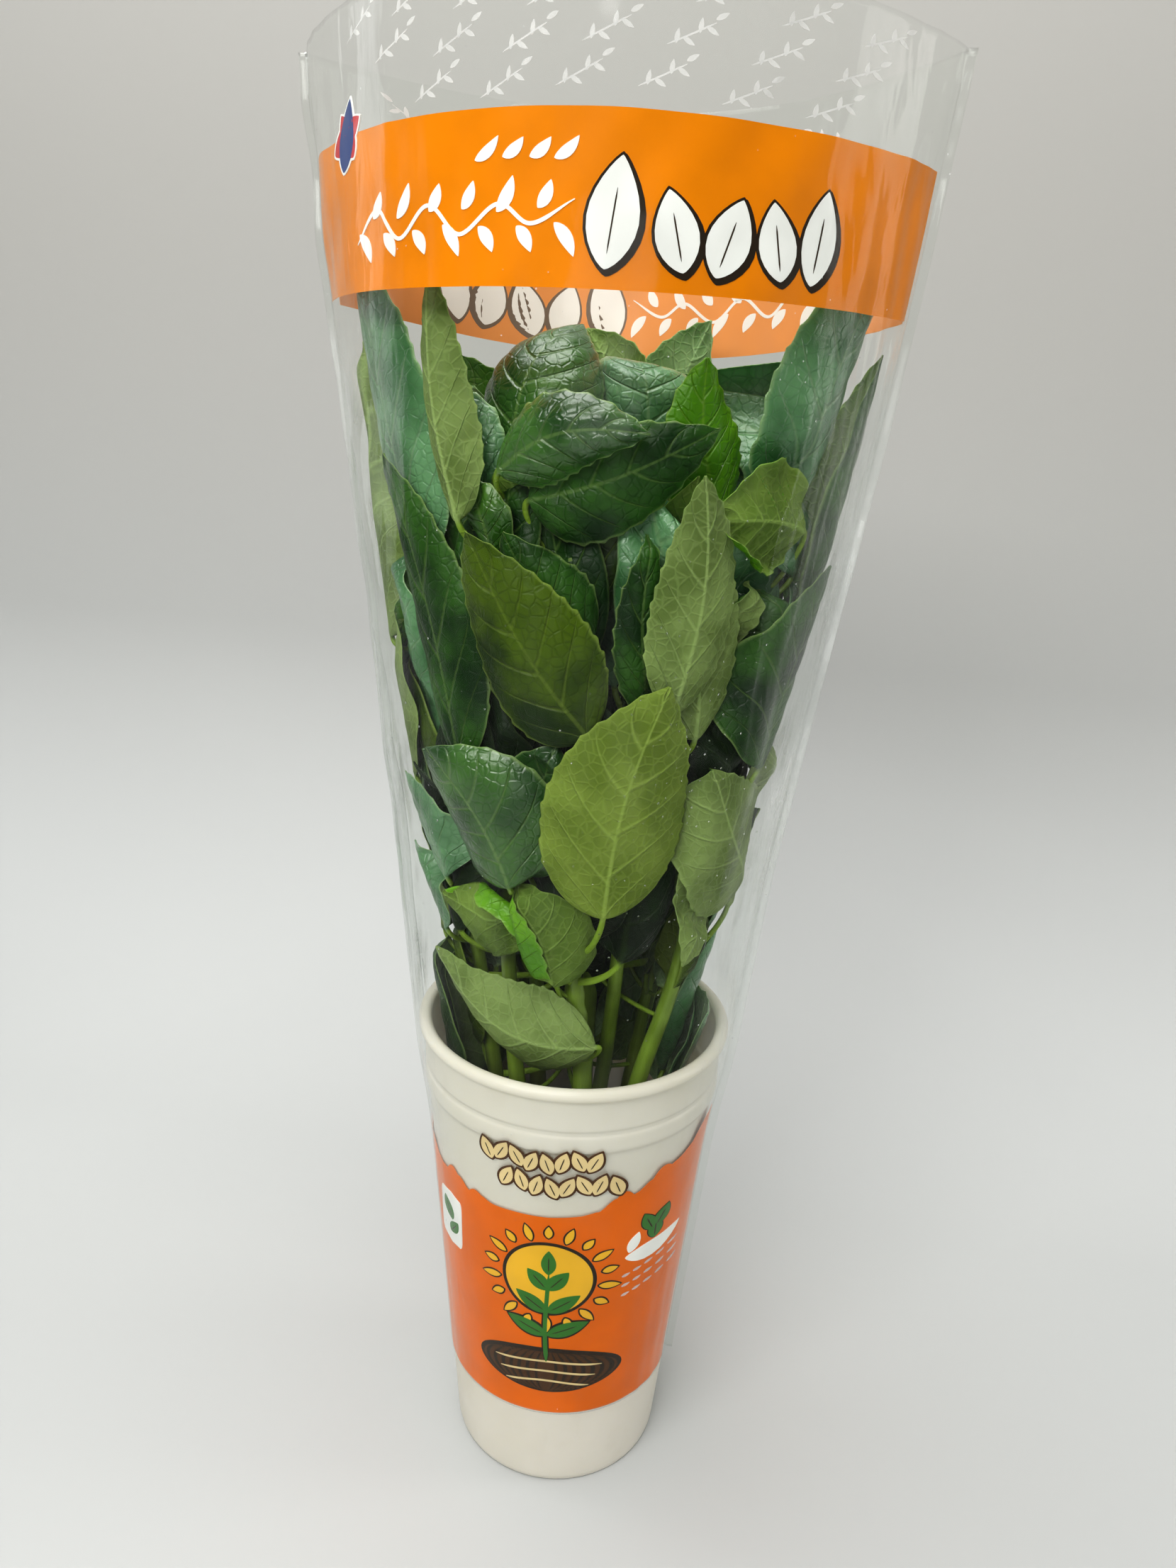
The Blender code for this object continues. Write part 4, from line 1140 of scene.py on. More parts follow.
@dataclass
class Plants:
    """The stems, the leaves that the sleeve presses upright, and the growing tips."""

    deepest: Array = field(default_factory=lambda: np.full((MAP_ROWS, MAP_AZIMUTHS), -LAYER_GAP))

    def stem_material(self, mottle: Tree) -> Material:
        """Yellow-green stem with fine lengthwise grooves, browner at its foot."""
        made, s, shader = new_material("stem")
        place = s.place()
        look = s.mottled(mottle, place, *STEM_COLOURS, 60.0, 900.0)
        grooves = s.noise(s.stretched(place, (1, 1, 0.05)), 1400, 2)
        s.put_all(
            shader,
            Base_Color=s.mix(s.step(s.parts(place)[2], 0.165, 0.115), look["Colour"], srgb(88, 92, 40)),
            Normal=s.bump(s.plus(grooves, look["Height"]), 0.15 * MM),
            Roughness=s.plus(0.34, s.times(look["Height"], 0.16)),
            Subsurface_Weight=0.15, Subsurface_Scale=2 * MM, Subsurface_Radius=(0.6, 1.0, 0.2),
        )
        return made

    def build_stems(self, material: Material) -> None:
        """Stems with squared sections, swollen where a leaf leaves them."""
        for stem in STEMS:
            path = stem.path(90)
            share = np.linspace(0, 1, len(path))
            nodes = np.array([leaf.node_z for leaf in LEAVES if leaf.stem == stem.name]) * MM
            swell = np.exp(-(((path[:, 2:] - nodes) / (2.4 * MM)) ** 2)).max(axis=1)
            skin = Skin()
            skin.tube(path, stem.radius(share) * (1 + 0.22 * swell), sides=20, facet=0.06)
            made = skin.piece(stem.name + "_look", material)
            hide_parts(stem.name)

    def build_leaves(self, materials: dict[str, Material]) -> None:
        """All leaves, in order from the film inwards."""
        stems = {stem.name: stem for stem in STEMS}
        for index, leaf in enumerate(LEAVES + inner_leaves()):
            listed = leaf.name.startswith("leaf")
            named = Leaf(**{**leaf.__dict__, "name": leaf.name + "_look", "seed": index + 1})
            made = named.build(stems[leaf.stem], self.deepest, materials[leaf.finish.name])
            if listed:
                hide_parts(leaf.name)

    def build_tips(self, material: Material) -> None:
        """A growing tip on each stem: pairs of small leaves, each pair a quarter turn on."""
        draw = np.random.default_rng(31)
        for stem in STEMS:
            path = stem.path()
            top = path[-1]
            turn = draw.uniform(0, 360)
            skin = Skin()
            for level, (length, width, low, high) in enumerate(
                ((22, 13, 25, 75), (15, 9, 45, 95), (9, 5.5, 60, 110), (5, 3.2, 75, 110))
            ):
                foot = top + np.array([0, 0, (1.2 * level - 1.5) * MM])
                for half in (0, 180):
                    heading = turn + 90 * level + half + draw.uniform(-12, 12)
                    SmallLeaf(tuple(foot), heading, length, width, low, high).shape(skin)
            made = skin.piece(stem.name.replace("stem", "tip") + "_look", material)


# ---------------------------------------------------------------- cup, plug and roots


@dataclass
class Cup:
    """A drawn cup: recessed foot, plain taper, shoulder, straight band and rolled lip."""

    height: float = 168 * MM
    lip_radius: float = 52 * MM
    lip_tube: float = 2.2 * MM
    band_radius: float = 49.8 * MM
    band_bottom: float = 145 * MM
    shoulder_radius: float = 48.6 * MM
    foot_radius: float = 36.5 * MM
    foot_ring: float = 4 * MM
    foot_recess: float = 3 * MM
    wall: float = 1.2 * MM
    steps: int = 160

    def profile(self) -> Array:
        """(radius, height) from the middle of the underside, up the outside and down the inside."""
        lip_z, lip_centre = self.height - self.lip_tube, self.lip_radius - self.lip_tube
        turns = np.radians(np.linspace(-75, 165, 14))
        round_lip = np.stack([np.cos(turns), np.sin(turns)], axis=-1)
        lip = np.array([lip_centre, lip_z]) + self.lip_tube * round_lip
        inside = self.band_radius - self.wall
        foot = self.foot_radius
        outer = [
            (0, self.foot_recess),
            (foot - self.foot_ring - 0.4 * MM, self.foot_recess),
            (foot - self.foot_ring, 0),
            (foot - 0.3 * MM, 0),
            (foot + 0.3 * MM, 2.2 * MM),
            (self.shoulder_radius, self.band_bottom - 1.2 * MM),
            (self.band_radius, self.band_bottom + 0.6 * MM),
            (self.band_radius, self.band_bottom + 5.4 * MM),
            (self.band_radius - 0.5 * MM, self.band_bottom + 6.2 * MM),
            (self.band_radius - 0.5 * MM, self.band_bottom + 7.4 * MM),
            (self.band_radius, self.band_bottom + 8.2 * MM),
            (self.band_radius, lip_z - 1.6 * self.lip_tube),
        ]
        inner = [
            (inside, lip_z - 1.5 * self.lip_tube),
            (inside, self.band_bottom),
            (self.shoulder_radius - self.wall, self.band_bottom - 1 * MM),
            (foot - self.wall, self.foot_recess + self.wall + 3 * MM),
            (foot - self.wall - 3 * MM, self.foot_recess + self.wall),
            (0, self.foot_recess + self.wall),
        ]
        return rounded(np.concatenate([outer, lip, inner]), 1.4 * MM)

    def material(self, mottle: Tree) -> Material:
        """Satin off-white plastic that lets some light through, with faint drawing lines and smudges."""
        made, s, shader = new_material("cup_plastic_look")
        place = s.place()
        look = s.mottled(mottle, place, srgb(238, 233, 218), srgb(244, 239, 226), 22.0, 500.0)
        rings = s.noise(s.stretched(place, (0.02, 0.02, 1)), 900, 3)
        smudge = s.step(s.noise(s.stretched(place, (1, 1, 0.4)), 60, 4, 0.6, 0.6), 0.52, 0.75)
        colour = s.mix(s.times(smudge, 0.12), look["Colour"], srgb(196, 186, 160))
        s.put_all(
            shader, Base_Color=colour,
            Normal=s.bump(s.plus(rings, s.times(look["Height"], 0.5)), 0.02 * MM),
            Roughness=s.plus(0.32, s.times(smudge, 0.15)),
            Subsurface_Weight=0.2, Subsurface_Radius=(1.0, 0.9, 0.7), Subsurface_Scale=3 * MM,
        )
        through = s.node("ShaderNodeBsdfTranslucent", colour)
        s.cover(0.2, shader.outputs[0], through.outputs[0])
        return made

    def build(self, mottle: Tree) -> None:
        """Turn the profile about the cup's axis."""
        skin = Skin()
        skin.lathe(self.profile(), self.steps)
        made = skin.piece("cup_look", self.material(mottle), sharp=45)
        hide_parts("cup")


def rounded(profile: Array, reach: float, steps: int = 4) -> Array:
    """A profile whose inner corners become quadratic curves that start reach before each corner.

    Each corner's curve is (1 - t)^2 a + 2 t (1 - t) corner + t^2 b, where a and b lie on the two
    sides at the reach, or at a third of a shorter side.
    """
    before, corner, after = profile[:-2], profile[1:-1], profile[2:]
    back, ahead = before - corner, after - corner
    far_back = np.linalg.norm(back, axis=1, keepdims=True)
    far_ahead = np.linalg.norm(ahead, axis=1, keepdims=True)
    a = corner + back * np.minimum(reach / far_back, 0.33)
    b = corner + ahead * np.minimum(reach / far_ahead, 0.33)
    t = np.linspace(0, 1, steps + 1)[None, :, None]
    curves = (1 - t) ** 2 * a[:, None] + 2 * t * (1 - t) * corner[:, None] + t**2 * b[:, None]
    return np.concatenate([profile[:1], curves.reshape(-1, 2), profile[-1:]])


@dataclass
class GrowingMedium:
    """The peat plug and the mat of roots that the cup holds."""

    crumbs: int = 420

    def peat_material(self, mottle: Tree) -> Material:
        """Dark damp peat: crumbs from a cell pattern, with paler fibres."""
        made, s, shader = new_material("peat_look")
        place = s.place()
        look = s.mottled(mottle, place, srgb(46, 32, 20), srgb(78, 56, 36), 160.0, 1200.0)
        fibres = s.step(s.noise(s.stretched(place, (1, 0.15, 1)), 700, 3), 0.62, 0.72)
        crumbs = s.plus(s.cells(place, 420), s.times(look["Height"], 0.5))
        s.put_all(
            shader, Base_Color=s.mix(s.times(fibres, 0.5), look["Colour"], srgb(140, 108, 66)),
            Normal=s.bump(crumbs, 1.2 * MM), Roughness=0.92,
        )
        return made

    def root_material(self, mottle: Tree) -> Material:
        """Pale roots matted together: twisted, stretched noise in two directions."""
        made, s, shader = new_material("roots_look")
        place = s.place()
        look = s.mottled(mottle, place, srgb(170, 146, 104), srgb(214, 196, 158), 120.0, 900.0)
        one = s.noise(s.stretched(place, (1, 1, 0.12)), 600, 3, 0.5, 1.6)
        two = s.noise(s.stretched(place, (0.25, 0.25, 1)), 500, 3, 0.5, 1.6)
        strands = s.math("MAXIMUM", one, two)
        s.put_all(
            shader, Base_Color=s.mix(s.step(strands, 0.62, 0.5), look["Colour"], srgb(96, 74, 46)),
            Normal=s.bump(strands, 1.5 * MM), Roughness=0.8,
        )
        return made

    def build(self, mottle: Tree) -> None:
        """Dress both CAD nodes, and scatter crumbs of peat over the plug's top."""
        peat = self.peat_material(mottle)
        for node, material in (("growing_plug", peat), ("root_mat", self.root_material(mottle))):
            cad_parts[node].data.materials.clear()
            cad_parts[node].data.materials.append(material)
        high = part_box("growing_plug")[1]
        draw = np.random.default_rng(5)
        count = self.crumbs
        turn, share = draw.uniform(0, 2 * math.pi, count), np.sqrt(draw.uniform(0, 1, count))
        radius = (high[0] - 2 * MM) * share
        top = np.full(count, high[2])
        centres = np.stack([radius * np.cos(turn), radius * np.sin(turn), top], axis=-1)
        skin = Skin()
        skin.beads(centres, draw.normal(0, 1, (count, 3)), draw.uniform(0.8, 2.4, count) * MM, 0.6)
        skin.piece("peat_crumbs", peat)


# ---------------------------------------------------------------- sleeve


# The sleeve's sections: height, half width and half depth in mm, and how pointed its ends are.
SLEEVE_TABLE = np.array([
    (34, 39.9, 39.9, 1), (128, 47.9, 47.9, 1), (146, 50.5, 50.5, 1), (160, 52.9, 52.9, 1),
    (170, 53.6, 53.6, 1), (225, 59, 57.5, 1.05), (290, 68, 61.5, 1.2), (350, 77, 64, 1.4),
    (400, 83, 66, 1.6), (450, 88, 68, 1.8),
])
CREASE_REACH = 75.0
SEAL_WAVER_SEED = 9


@dataclass
class Sleeve:
    """Two printed film panels sealed along both sides, open at the foot and at the top."""

    heights: Array = field(default_factory=lambda: SLEEVE_TABLE[:, 0] * MM)
    half_widths: Array = field(default_factory=lambda: SLEEVE_TABLE[:, 1] * MM)
    half_depths: Array = field(default_factory=lambda: SLEEVE_TABLE[:, 2] * MM)
    points: Array = field(default_factory=lambda: SLEEVE_TABLE[:, 3])
    seal: float = 2.5 * MM
    skin_half: float = 0.05 * MM
    rows: int = 200
    columns: int = 150

    def sizes(self, z: Array) -> tuple[Array, Array, Array]:
        """Half width, half depth and pointedness of the section at a height, with soft corners.

        Each is the mean of five readings of its table from 8 mm below to 8 mm above.
        """
        offsets = np.linspace(-8, 8, 5) * MM
        ends = self.heights[-2:]
        heights = np.append(self.heights, ends[1] + 50 * MM)

        def read(table: Array) -> Array:
            longer = np.append(table, 2 * table[-1] - table[-2])
            return sum(np.interp(z + d, heights, longer) for d in offsets) / len(offsets)

        return read(self.half_widths), read(self.half_depths), read(self.points)

    def creases(self, share: Array, z: Array, facing: Facing) -> Array:
        """How far the film stands out from its smooth section, in metres.

        Broad ripples, pleats that run up beside the seals, and a few sharp creases, each a ridge
        that falls away exponentially from a straight line. All of it fades where the sleeve hugs
        the cup.
        """
        seed = 40 + facing.value
        loose = 0.12 + 0.88 * smoothstep(170 * MM, 215 * MM, z)
        broad = 0.45 * ripple(seed, share * 1.3, z / (110 * MM))
        swing = np.sin(z / (31 * MM)) + 0.6 * np.sin(z / (13 * MM) + 1)
        near = smoothstep(0.55, 0.97, np.abs(share))
        angle = np.arcsin(np.clip(share, -1, 1))
        calm = 1 - 0.6 * smoothstep(375 * MM, 390 * MM, z)
        strength = 0.6 + 0.4 * np.sin(z / (57 * MM) + share * 2)
        pleats = 0.75 * calm * near * np.sin(angle * 34 + 0.9 * swing) * strength
        fine = 0.22 * ripple(seed + 3, share * 4.5, z / (42 * MM))
        total = broad + pleats + fine
        for start, z_0, end, z_1, height, width in FILM_CREASES[facing]:
            x, across, rise = share * CREASE_REACH, (end - start) * CREASE_REACH, z_1 - z_0
            along = (x - start * CREASE_REACH) * across + (z / MM - z_0) * rise
            t = np.clip(along / (across**2 + rise**2), 0, 1)
            far = np.hypot(x - start * CREASE_REACH - t * across, z / MM - z_0 - t * rise)
            total = total + height * np.exp(-far / width) * np.sin(math.pi * np.clip(t, 0.06, 0.94))
        return np.clip(total, -0.9, 2.0) * loose * MM

    def place(self, share: Array, z: Array, facing: Facing, inside: float = 0.0) -> Array:
        """World point on a panel.

        The section is x = A s, y = B (1 - s^2)^(n/2), moved out along its normal by the creases
        and in by inside. Close to the seals the film wavers from side to side.

        Args:
            share: s, from -1 to 1 across the panel, left to right as seen from the front.
            z: Height.
            facing: The panel.
            inside: How far inside the film's middle.

        Returns:
            (..., 3).
        """
        half_width, half_depth, power = self.sizes(z)
        room = np.maximum(1 - share**2, 0.0)
        bulge = half_depth * room ** (0.5 * power)
        steep = half_depth * power * share * np.maximum(room, 0.01) ** (0.5 * power - 1)
        long = np.hypot(steep, half_width)
        move = self.creases(share, z, facing) * np.minimum(1, 8 * room) - inside
        x = half_width * share + move * steep / long
        y = facing.value * (bulge + 0.2 * MM + move * half_width / long)
        loose = smoothstep(165 * MM, 230 * MM, z)
        waver = 1.5 * MM * ripple(SEAL_WAVER_SEED, np.sign(share) * 1.7, z / (75 * MM)) * loose
        y = y + waver * smoothstep(0.9, 1.0, np.abs(share))
        return np.stack(np.broadcast_arrays(x, y, z), axis=-1)

    def panel(self, facing: Facing) -> Array:
        """The panel's grid, with its seal beyond each side."""
        angle = np.linspace(-0.5 * math.pi, 0.5 * math.pi, self.columns)
        z = np.linspace(self.heights[0], self.heights[-1], self.rows)[:, None]
        grid = self.place(np.sin(angle)[None, :] + 0 * z, z + 0 * angle, facing)
        ribs = np.array([0.35, 0.7, 1.0])[None, :, None]
        wide = np.array([self.seal, 0, 0])
        left = grid[:, :1] - wide * ribs[:, ::-1]
        right = grid[:, -1:] + wide * ribs
        grid = np.concatenate([left, grid, right], axis=1)
        return grid if facing is Facing.FRONT else grid[:, ::-1]

    def material(self) -> Material:
        """Clear film: see-through, glossy at a slant, faintly cloudy in long streaks, with a painted white
        sheen near the seals.

        Gloss follows 0.006 + 0.55 (1 - cos)^5 of the angle of view. A matt white share clouds the film
        faintly in long streaks; near the seals it is far greater, in streaks and a band, as painted sheen
        for the film's reflections where it turns edge-on.
        """
        made, s, shader = new_material("clear_film_look")
        place = s.place()
        streaks = s.noise(s.stretched(place, (1, 1, 0.14)), 95, 4, 0.6, 0.8)
        patches = s.noise(place, 26, 3)
        parts = s.parts(place)
        wide = s.plus(s.times(parts[2], 0.12), 0.034)
        # Near the seals the white share is painted sheen, standing in for the film's reflections where it
        # turns edge-on.
        side = s.step(s.math("DIVIDE", s.math("ABSOLUTE", parts[0]), wide), 0.74, 1.0)
        side = s.times(side, s.times(s.step(parts[2], 0.385, 0.35), s.step(parts[2], 0.14, 0.19)))
        haze_and_sheen = s.times(s.step(streaks, 0.42, 0.78), s.step(patches, 0.35, 0.7))
        haze_and_sheen = s.times(haze_and_sheen, s.plus(0.012, s.times(side, 0.62)))
        haze_and_sheen = s.plus(haze_and_sheen, s.plus(0.0005, s.times(side, 0.08)))
        specks = s.times(s.step(s.cells(place, 260), 0.075, 0.04), s.step(s.noise(place, 40), 0.55, 0.62))
        haze_and_sheen = s.plus(haze_and_sheen, s.times(specks, 0.25), clamp=True)
        dents = s.bump(s.noise(s.stretched(place, (1, 1, 0.35)), 150, 2, 0.45, 0.4), 0.35 * MM)
        s.put_all(shader, Base_Color=(0.93, 0.94, 0.93), Metallic=1, Roughness=0.1, Normal=dents)
        clear = s.node("ShaderNodeBsdfTransparent", (0.985, 0.99, 0.985))
        slant = s.node("ShaderNodeLayerWeight", 0.5, dents).outputs["Facing"]
        gloss = s.plus(0.006, s.times(s.math("POWER", slant, 5.0), 0.55))
        first = s.node("ShaderNodeMixShader", gloss, clear.outputs[0], shader.outputs[0])
        haze_and_sheen_shader = s.node("ShaderNodeBsdfPrincipled")
        s.put_all(haze_and_sheen_shader, Base_Color=(0.95, 0.96, 0.95), Roughness=0.5)
        s.cover(haze_and_sheen, first.outputs[0], haze_and_sheen_shader.outputs[0])
        return made

    def build(self) -> dict[Facing, Piece]:
        """Make both panels."""
        material, made = self.material(), {}
        for facing, node in ((Facing.FRONT, "sleeve_front_film"), (Facing.BACK, "sleeve_back_film")):
            skin = Skin()
            skin.slab(self.panel(facing), self.skin_half, self.skin_half)
            piece = skin.piece(node + "_look", material)
            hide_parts(node)
            made[facing] = piece
        return made


# Sharp creases: share and height in mm at both ends, height of the ridge and its width in mm.
FILM_CREASES = {
    Facing.FRONT: (
        (-0.62, 236, -0.30, 252, 1.3, 2.2),
        (-0.42, 262, -0.22, 243, -1.0, 2.6),
        (0.62, 190, 0.50, 262, 1.2, 2.4),
        (0.80, 200, 0.72, 330, 1.2, 2.0),
        (0.90, 240, 0.84, 372, -1.0, 2.0),
        (0.68, 300, 0.80, 402, 0.9, 2.4),
        (-0.88, 210, -0.82, 330, 1.0, 2.2),
        (-0.70, 280, -0.86, 384, 0.8, 2.6),
        (-0.20, 176, -0.34, 214, 0.8, 2.6),
        (0.20, 174, 0.40, 204, 0.8, 2.6),
        (-0.58, 388, -0.50, 446, 0.9, 3.0),
        (0.46, 424, 0.66, 446, 0.8, 3.0),
    ),
    Facing.BACK: (
        (-0.60, 190, -0.40, 270, 1.2, 2.4),
        (0.30, 230, 0.62, 250, 1.2, 2.4),
        (0.78, 210, 0.70, 350, 1.1, 2.2),
        (-0.86, 230, -0.74, 360, 1.0, 2.2),
        (0.10, 300, 0.30, 372, 0.7, 3.0),
        (-0.30, 420, -0.10, 446, 0.8, 3.0),
    ),
}


# ---------------------------------------------------------------- print


@dataclass(frozen=True)
class Ink:
    """A printed colour: how far inside the film's middle its layer starts and ends, in mm.

    cover is how much of what lies behind it is hidden.
    """

    name: str
    colour: Colour
    outer: float
    inner: float
    cover: float = 1.0

    def material(self, mottle: Tree) -> Material:
        """Printed ink: nearly even colour with faint dots and a soft gloss, paler from inside."""
        made, s, shader = new_material(self.name)
        place = s.place()
        darker = tuple(0.9 * value for value in self.colour)
        look = s.mottled(mottle, place, darker, self.colour, 45.0, 1600.0)
        dots = s.step(s.cells(place, 2600), 0.4, 0.25)
        inked = s.mix(s.times(dots, 0.06), look["Colour"], darker)
        behind = s.times(s.attribute("from_inside").outputs["Fac"], 0.3)
        s.put_all(
            shader, Base_Color=s.mix(behind, inked, srgb(196, 172, 152)),
            Roughness=s.plus(0.36, s.times(look["Height"], 0.12)),
            Normal=s.bump(look["Height"], 0.02 * MM), Specular_IOR_Level=0.1, Alpha=self.cover,
        )
        return made


INKS = (
    Ink("ink_orange", srgb(236, 138, 2), 0.30, 0.40),
    Ink("ink_deep_orange", srgb(234, 113, 0), 0.30, 0.40),
    Ink("ink_dark", srgb(50, 40, 30), 0.22, 0.43),
    Ink("ink_brown", srgb(84, 54, 30), 0.22, 0.43),
    Ink("ink_white", srgb(250, 250, 246), 0.13, 0.45),
    Ink("ink_cream", srgb(236, 212, 158), 0.15, 0.44),
    Ink("ink_yellow", srgb(244, 190, 52), 0.17, 0.44),
    Ink("ink_green", srgb(62, 124, 50), 0.11, 0.45),
    Ink("ink_blue", srgb(48, 72, 134), 0.11, 0.44),
    Ink("ink_red", srgb(204, 54, 58), 0.12, 0.44),
    Ink("ink_line", srgb(60, 46, 34), 0.09, 0.12),
    Ink("ink_frost", srgb(250, 250, 250), 0.11, 0.2, 0.4),
)
ORANGE, DEEP_ORANGE, DARK, BROWN, WHITE, CREAM, YELLOW, GREEN, BLUE_INK, RED, LINE, FROST = INKS


# The back panel's print hangs lower in the middle than the front one's.
BACK_SAG = 9 * MM


def shares_across(count: int) -> Array:
    """Places from seal to seal of a panel, closer together near the seals."""
    return np.sin(np.linspace(-0.5 * math.pi, 0.5 * math.pi, count)) * 0.992


def direction(tilt: float) -> Array:
    """A unit step on the print, tilt degrees from upright towards the right."""
    angle = math.radians(tilt)
    return np.array([math.sin(angle), math.cos(angle)])


@dataclass
class Artwork:
    """The print on one panel, in mm across as read from outside the panel, and mm of height.

    Every mark is a ribbon: a line with a half width at each of its points. A leaf is a ribbon
    whose half width swells and shrinks, and a disc one whose half width follows a circle.
    """

    sleeve: Sleeve
    facing: Facing
    skins: dict[Ink, Skin] = field(default_factory=dict)

    def lay(self, ink: Ink, flat: Array) -> None:
        """Put a grid of places on the film as a thin closed layer of ink."""
        x, z = flat[..., 0] * -self.facing.value * MM, flat[..., 1] * MM
        share = np.clip(x / self.sleeve.sizes(z)[0], -0.995, 0.995)
        if self.facing is Facing.BACK:
            z = z - BACK_SAG * (1 - share**2) * smoothstep(0.36, 0.386, z)
        grid = self.sleeve.place(share, z, self.facing, 0.5 * (ink.outer + ink.inner) * MM)
        middle = grid[grid.shape[0] // 2, grid.shape[1] // 2]
        facing_out = grid_normals(grid)[grid.shape[0] // 2, grid.shape[1] // 2] @ (middle * (1, 1, 0))
        if facing_out < 0:
            grid = grid[:, ::-1]
        half = 0.5 * (ink.inner - ink.outer) * MM
        inside = np.ones(grid.shape[:2])
        self.skins.setdefault(ink, Skin()).slab(grid, half, half, from_inside=(0 * inside, inside))

    def ribbon(self, ink: Ink, spine: Array, half: Array, columns: int = 5) -> None:
        """Lay a ribbon: each point of the line, moved square to it by shares of the half width."""
        along = np.gradient(spine, axis=0)
        along /= np.linalg.norm(along, axis=1, keepdims=True)
        side = np.stack([-along[:, 1], along[:, 0]], axis=-1)
        off = np.maximum(half, 0.04)[:, None] * np.linspace(-1, 1, columns)
        self.lay(ink, spine[:, None] + off[..., None] * side[:, None])

    def leaf(self, ink: Ink, place: Spot, length: float, width: float, tilt: float,
             grow: float = 0.0, curl: float = 0.0, points: int = 14) -> None:
        """A leaf-shaped mark about its middle.

        Args:
            ink: Its colour.
            place: Its middle.
            length: From base to tip.
            width: Its greatest width.
            tilt: Degrees from upright towards the right.
            grow: How much wider and longer it is on every side, as for an outline.
            curl: How far its middle bows sideways, as a share of its length.
            points: How many points its line has.
        """
        t = 0.5 - 0.5 * np.cos(np.linspace(0, math.pi, points))
        ahead = direction(tilt)
        aside = np.array([ahead[1], -ahead[0]])
        long = length + 2 * grow
        spine = (np.array(place) + (t[:, None] - 0.5) * long * ahead
                 + curl * length * np.sin(math.pi * t)[:, None] * aside)
        self.ribbon(ink, spine, (0.5 * width + grow) * np.sin(math.pi * t**0.85) ** 0.8)

    def stroke(self, ink: Ink, points: list[Spot], width: float, count: int) -> None:
        """A line of even width through a few places, with narrowed ends."""
        spine = line_through(np.array(points, float), count)
        t = np.linspace(0, 1, count)
        self.ribbon(ink, spine, 0.5 * width * np.minimum(1, 0.25 + 8 * np.minimum(t, 1 - t)), 3)

    def disc(self, ink: Ink, place: Spot, radius: float, flat: float = 1.0) -> None:
        """A disc, or an ellipse whose height is flat times its width."""
        angle = np.linspace(-0.5 * math.pi, 0.5 * math.pi, 33)
        spine = np.array(place) + np.stack([0 * angle, radius * flat * np.sin(angle)], axis=-1)
        self.ribbon(ink, spine, radius * np.cos(angle), 17)

    def outlined_leaf(self, fill: Ink, line: Ink, place: Spot, length: float, width: float,
                      tilt: float, edge: float, rib: bool = True) -> None:
        """A leaf-shaped mark in one ink with an edge of another, and a fine midrib where rib is set."""
        self.leaf(line, place, length, width, tilt, edge)
        self.leaf(fill, place, length, width, tilt)
        if rib:
            ahead = direction(tilt)
            low, high = np.array(place) - 0.36 * length * ahead, np.array(place) + 0.22 * length * ahead
            self.stroke(LINE, [low, 0.5 * (low + high), high], 0.35, 8)

    def ground(self, ink: Ink, low: Array, high: Array, across: Array, rows: int) -> None:
        """A field of one colour between two lines that are functions of the place across.

        Args:
            ink: Its colour.
            low: Heights of its lower edge.
            high: Heights of its upper edge.
            across: Shares of the panel, from -1 to 1.
            rows: How many rows of faces it has.
        """
        level = np.linspace(0, 1, rows + 1)[:, None]
        z = low + (high - low) * level
        x = across * self.sleeve.sizes(z * MM)[0] / MM
        self.lay(ink, np.stack([x, z], axis=-1))

    def band(self) -> None:
        """The broad orange band: a white vine on the left, and bold outlined leaves on the right."""
        across = shares_across(150)
        self.ground(ORANGE, 386 + 0 * across, 422 + 0 * across, across, 26)
        vine = [(-58, 397), (-50, 404), (-42, 397), (-33, 403.5), (-24, 397), (-14, 403), (-6, 399),
                (4, 404)]
        self.stroke(WHITE, vine, 0.9, 90)
        for index in range(13):
            a = -56 + 4.7 * index
            side = 1 if index % 2 else -1
            size = 8.2 if index % 3 == 0 else 6.4
            tilt = 28 if side > 0 else 146
            self.leaf(WHITE, (a + 1.3, 400.4 + 4.6 * side), size, 3.1, tilt, curl=0.08 * side)
        for a, z, length, width, tilt in (
            (12.5, 401.5, 23, 11.5, 8), (26, 398.5, 17, 9.5, -14), (37.5, 398, 17, 9.5, 16),
            (48, 398.5, 16.5, 8.5, -10), (57.5, 400.5, 20.5, 7.5, 6),
        ):
            self.leaf(DARK, (a + 0.5, z - 0.6), length, width, tilt, 0.9)
            self.outlined_leaf(WHITE, DARK, (a, z), length, width, tilt, 0.7)
        for a, length in ((-17, 7.5), (-10.5, 6.2), (-4.2, 6.2), (1.8, 7.0)):
            self.leaf(WHITE, (a, 414.2), length, 2.6, 52, curl=0.1)

    def badge(self) -> None:
        """A small badge above the band's left end: a fan of a red, a blue and a red leaf."""
        for ink, tilt, length in ((RED, 62, 13.5), (RED, -28, 11.5), (BLUE_INK, 16, 16)):
            self.outlined_leaf(ink, WHITE, (-61.5, 422), length, 6.6, tilt, 0.6, rib=False)

    def sprigs(self) -> None:
        """Small frosted sprigs scattered over the clear film above the band, in slanted rows."""
        for row in range(3):
            for column in range(9):
                a = -66 + 17.5 * column + 5.5 * row
                z = 427.5 + 8.2 * row + 1.2 * math.sin(1.7 * column)
                if abs(a) > 70 or (a < -46 and z < 440):
                    continue
                self.stroke(FROST, [(a - 5, z - 2.4), (a, z), (a + 5, z + 2.6)], 0.35, 8)
                for step, tilt in ((-3.4, 10), (-1.0, 118), (1.4, 10), (3.8, 118), (5.6, 60)):
                    lift = 1.1 if tilt < 90 else -0.9
                    self.leaf(FROST, (a + step + 0.5, z + 0.5 * step + lift), 2.9, 1.1, tilt, points=6)

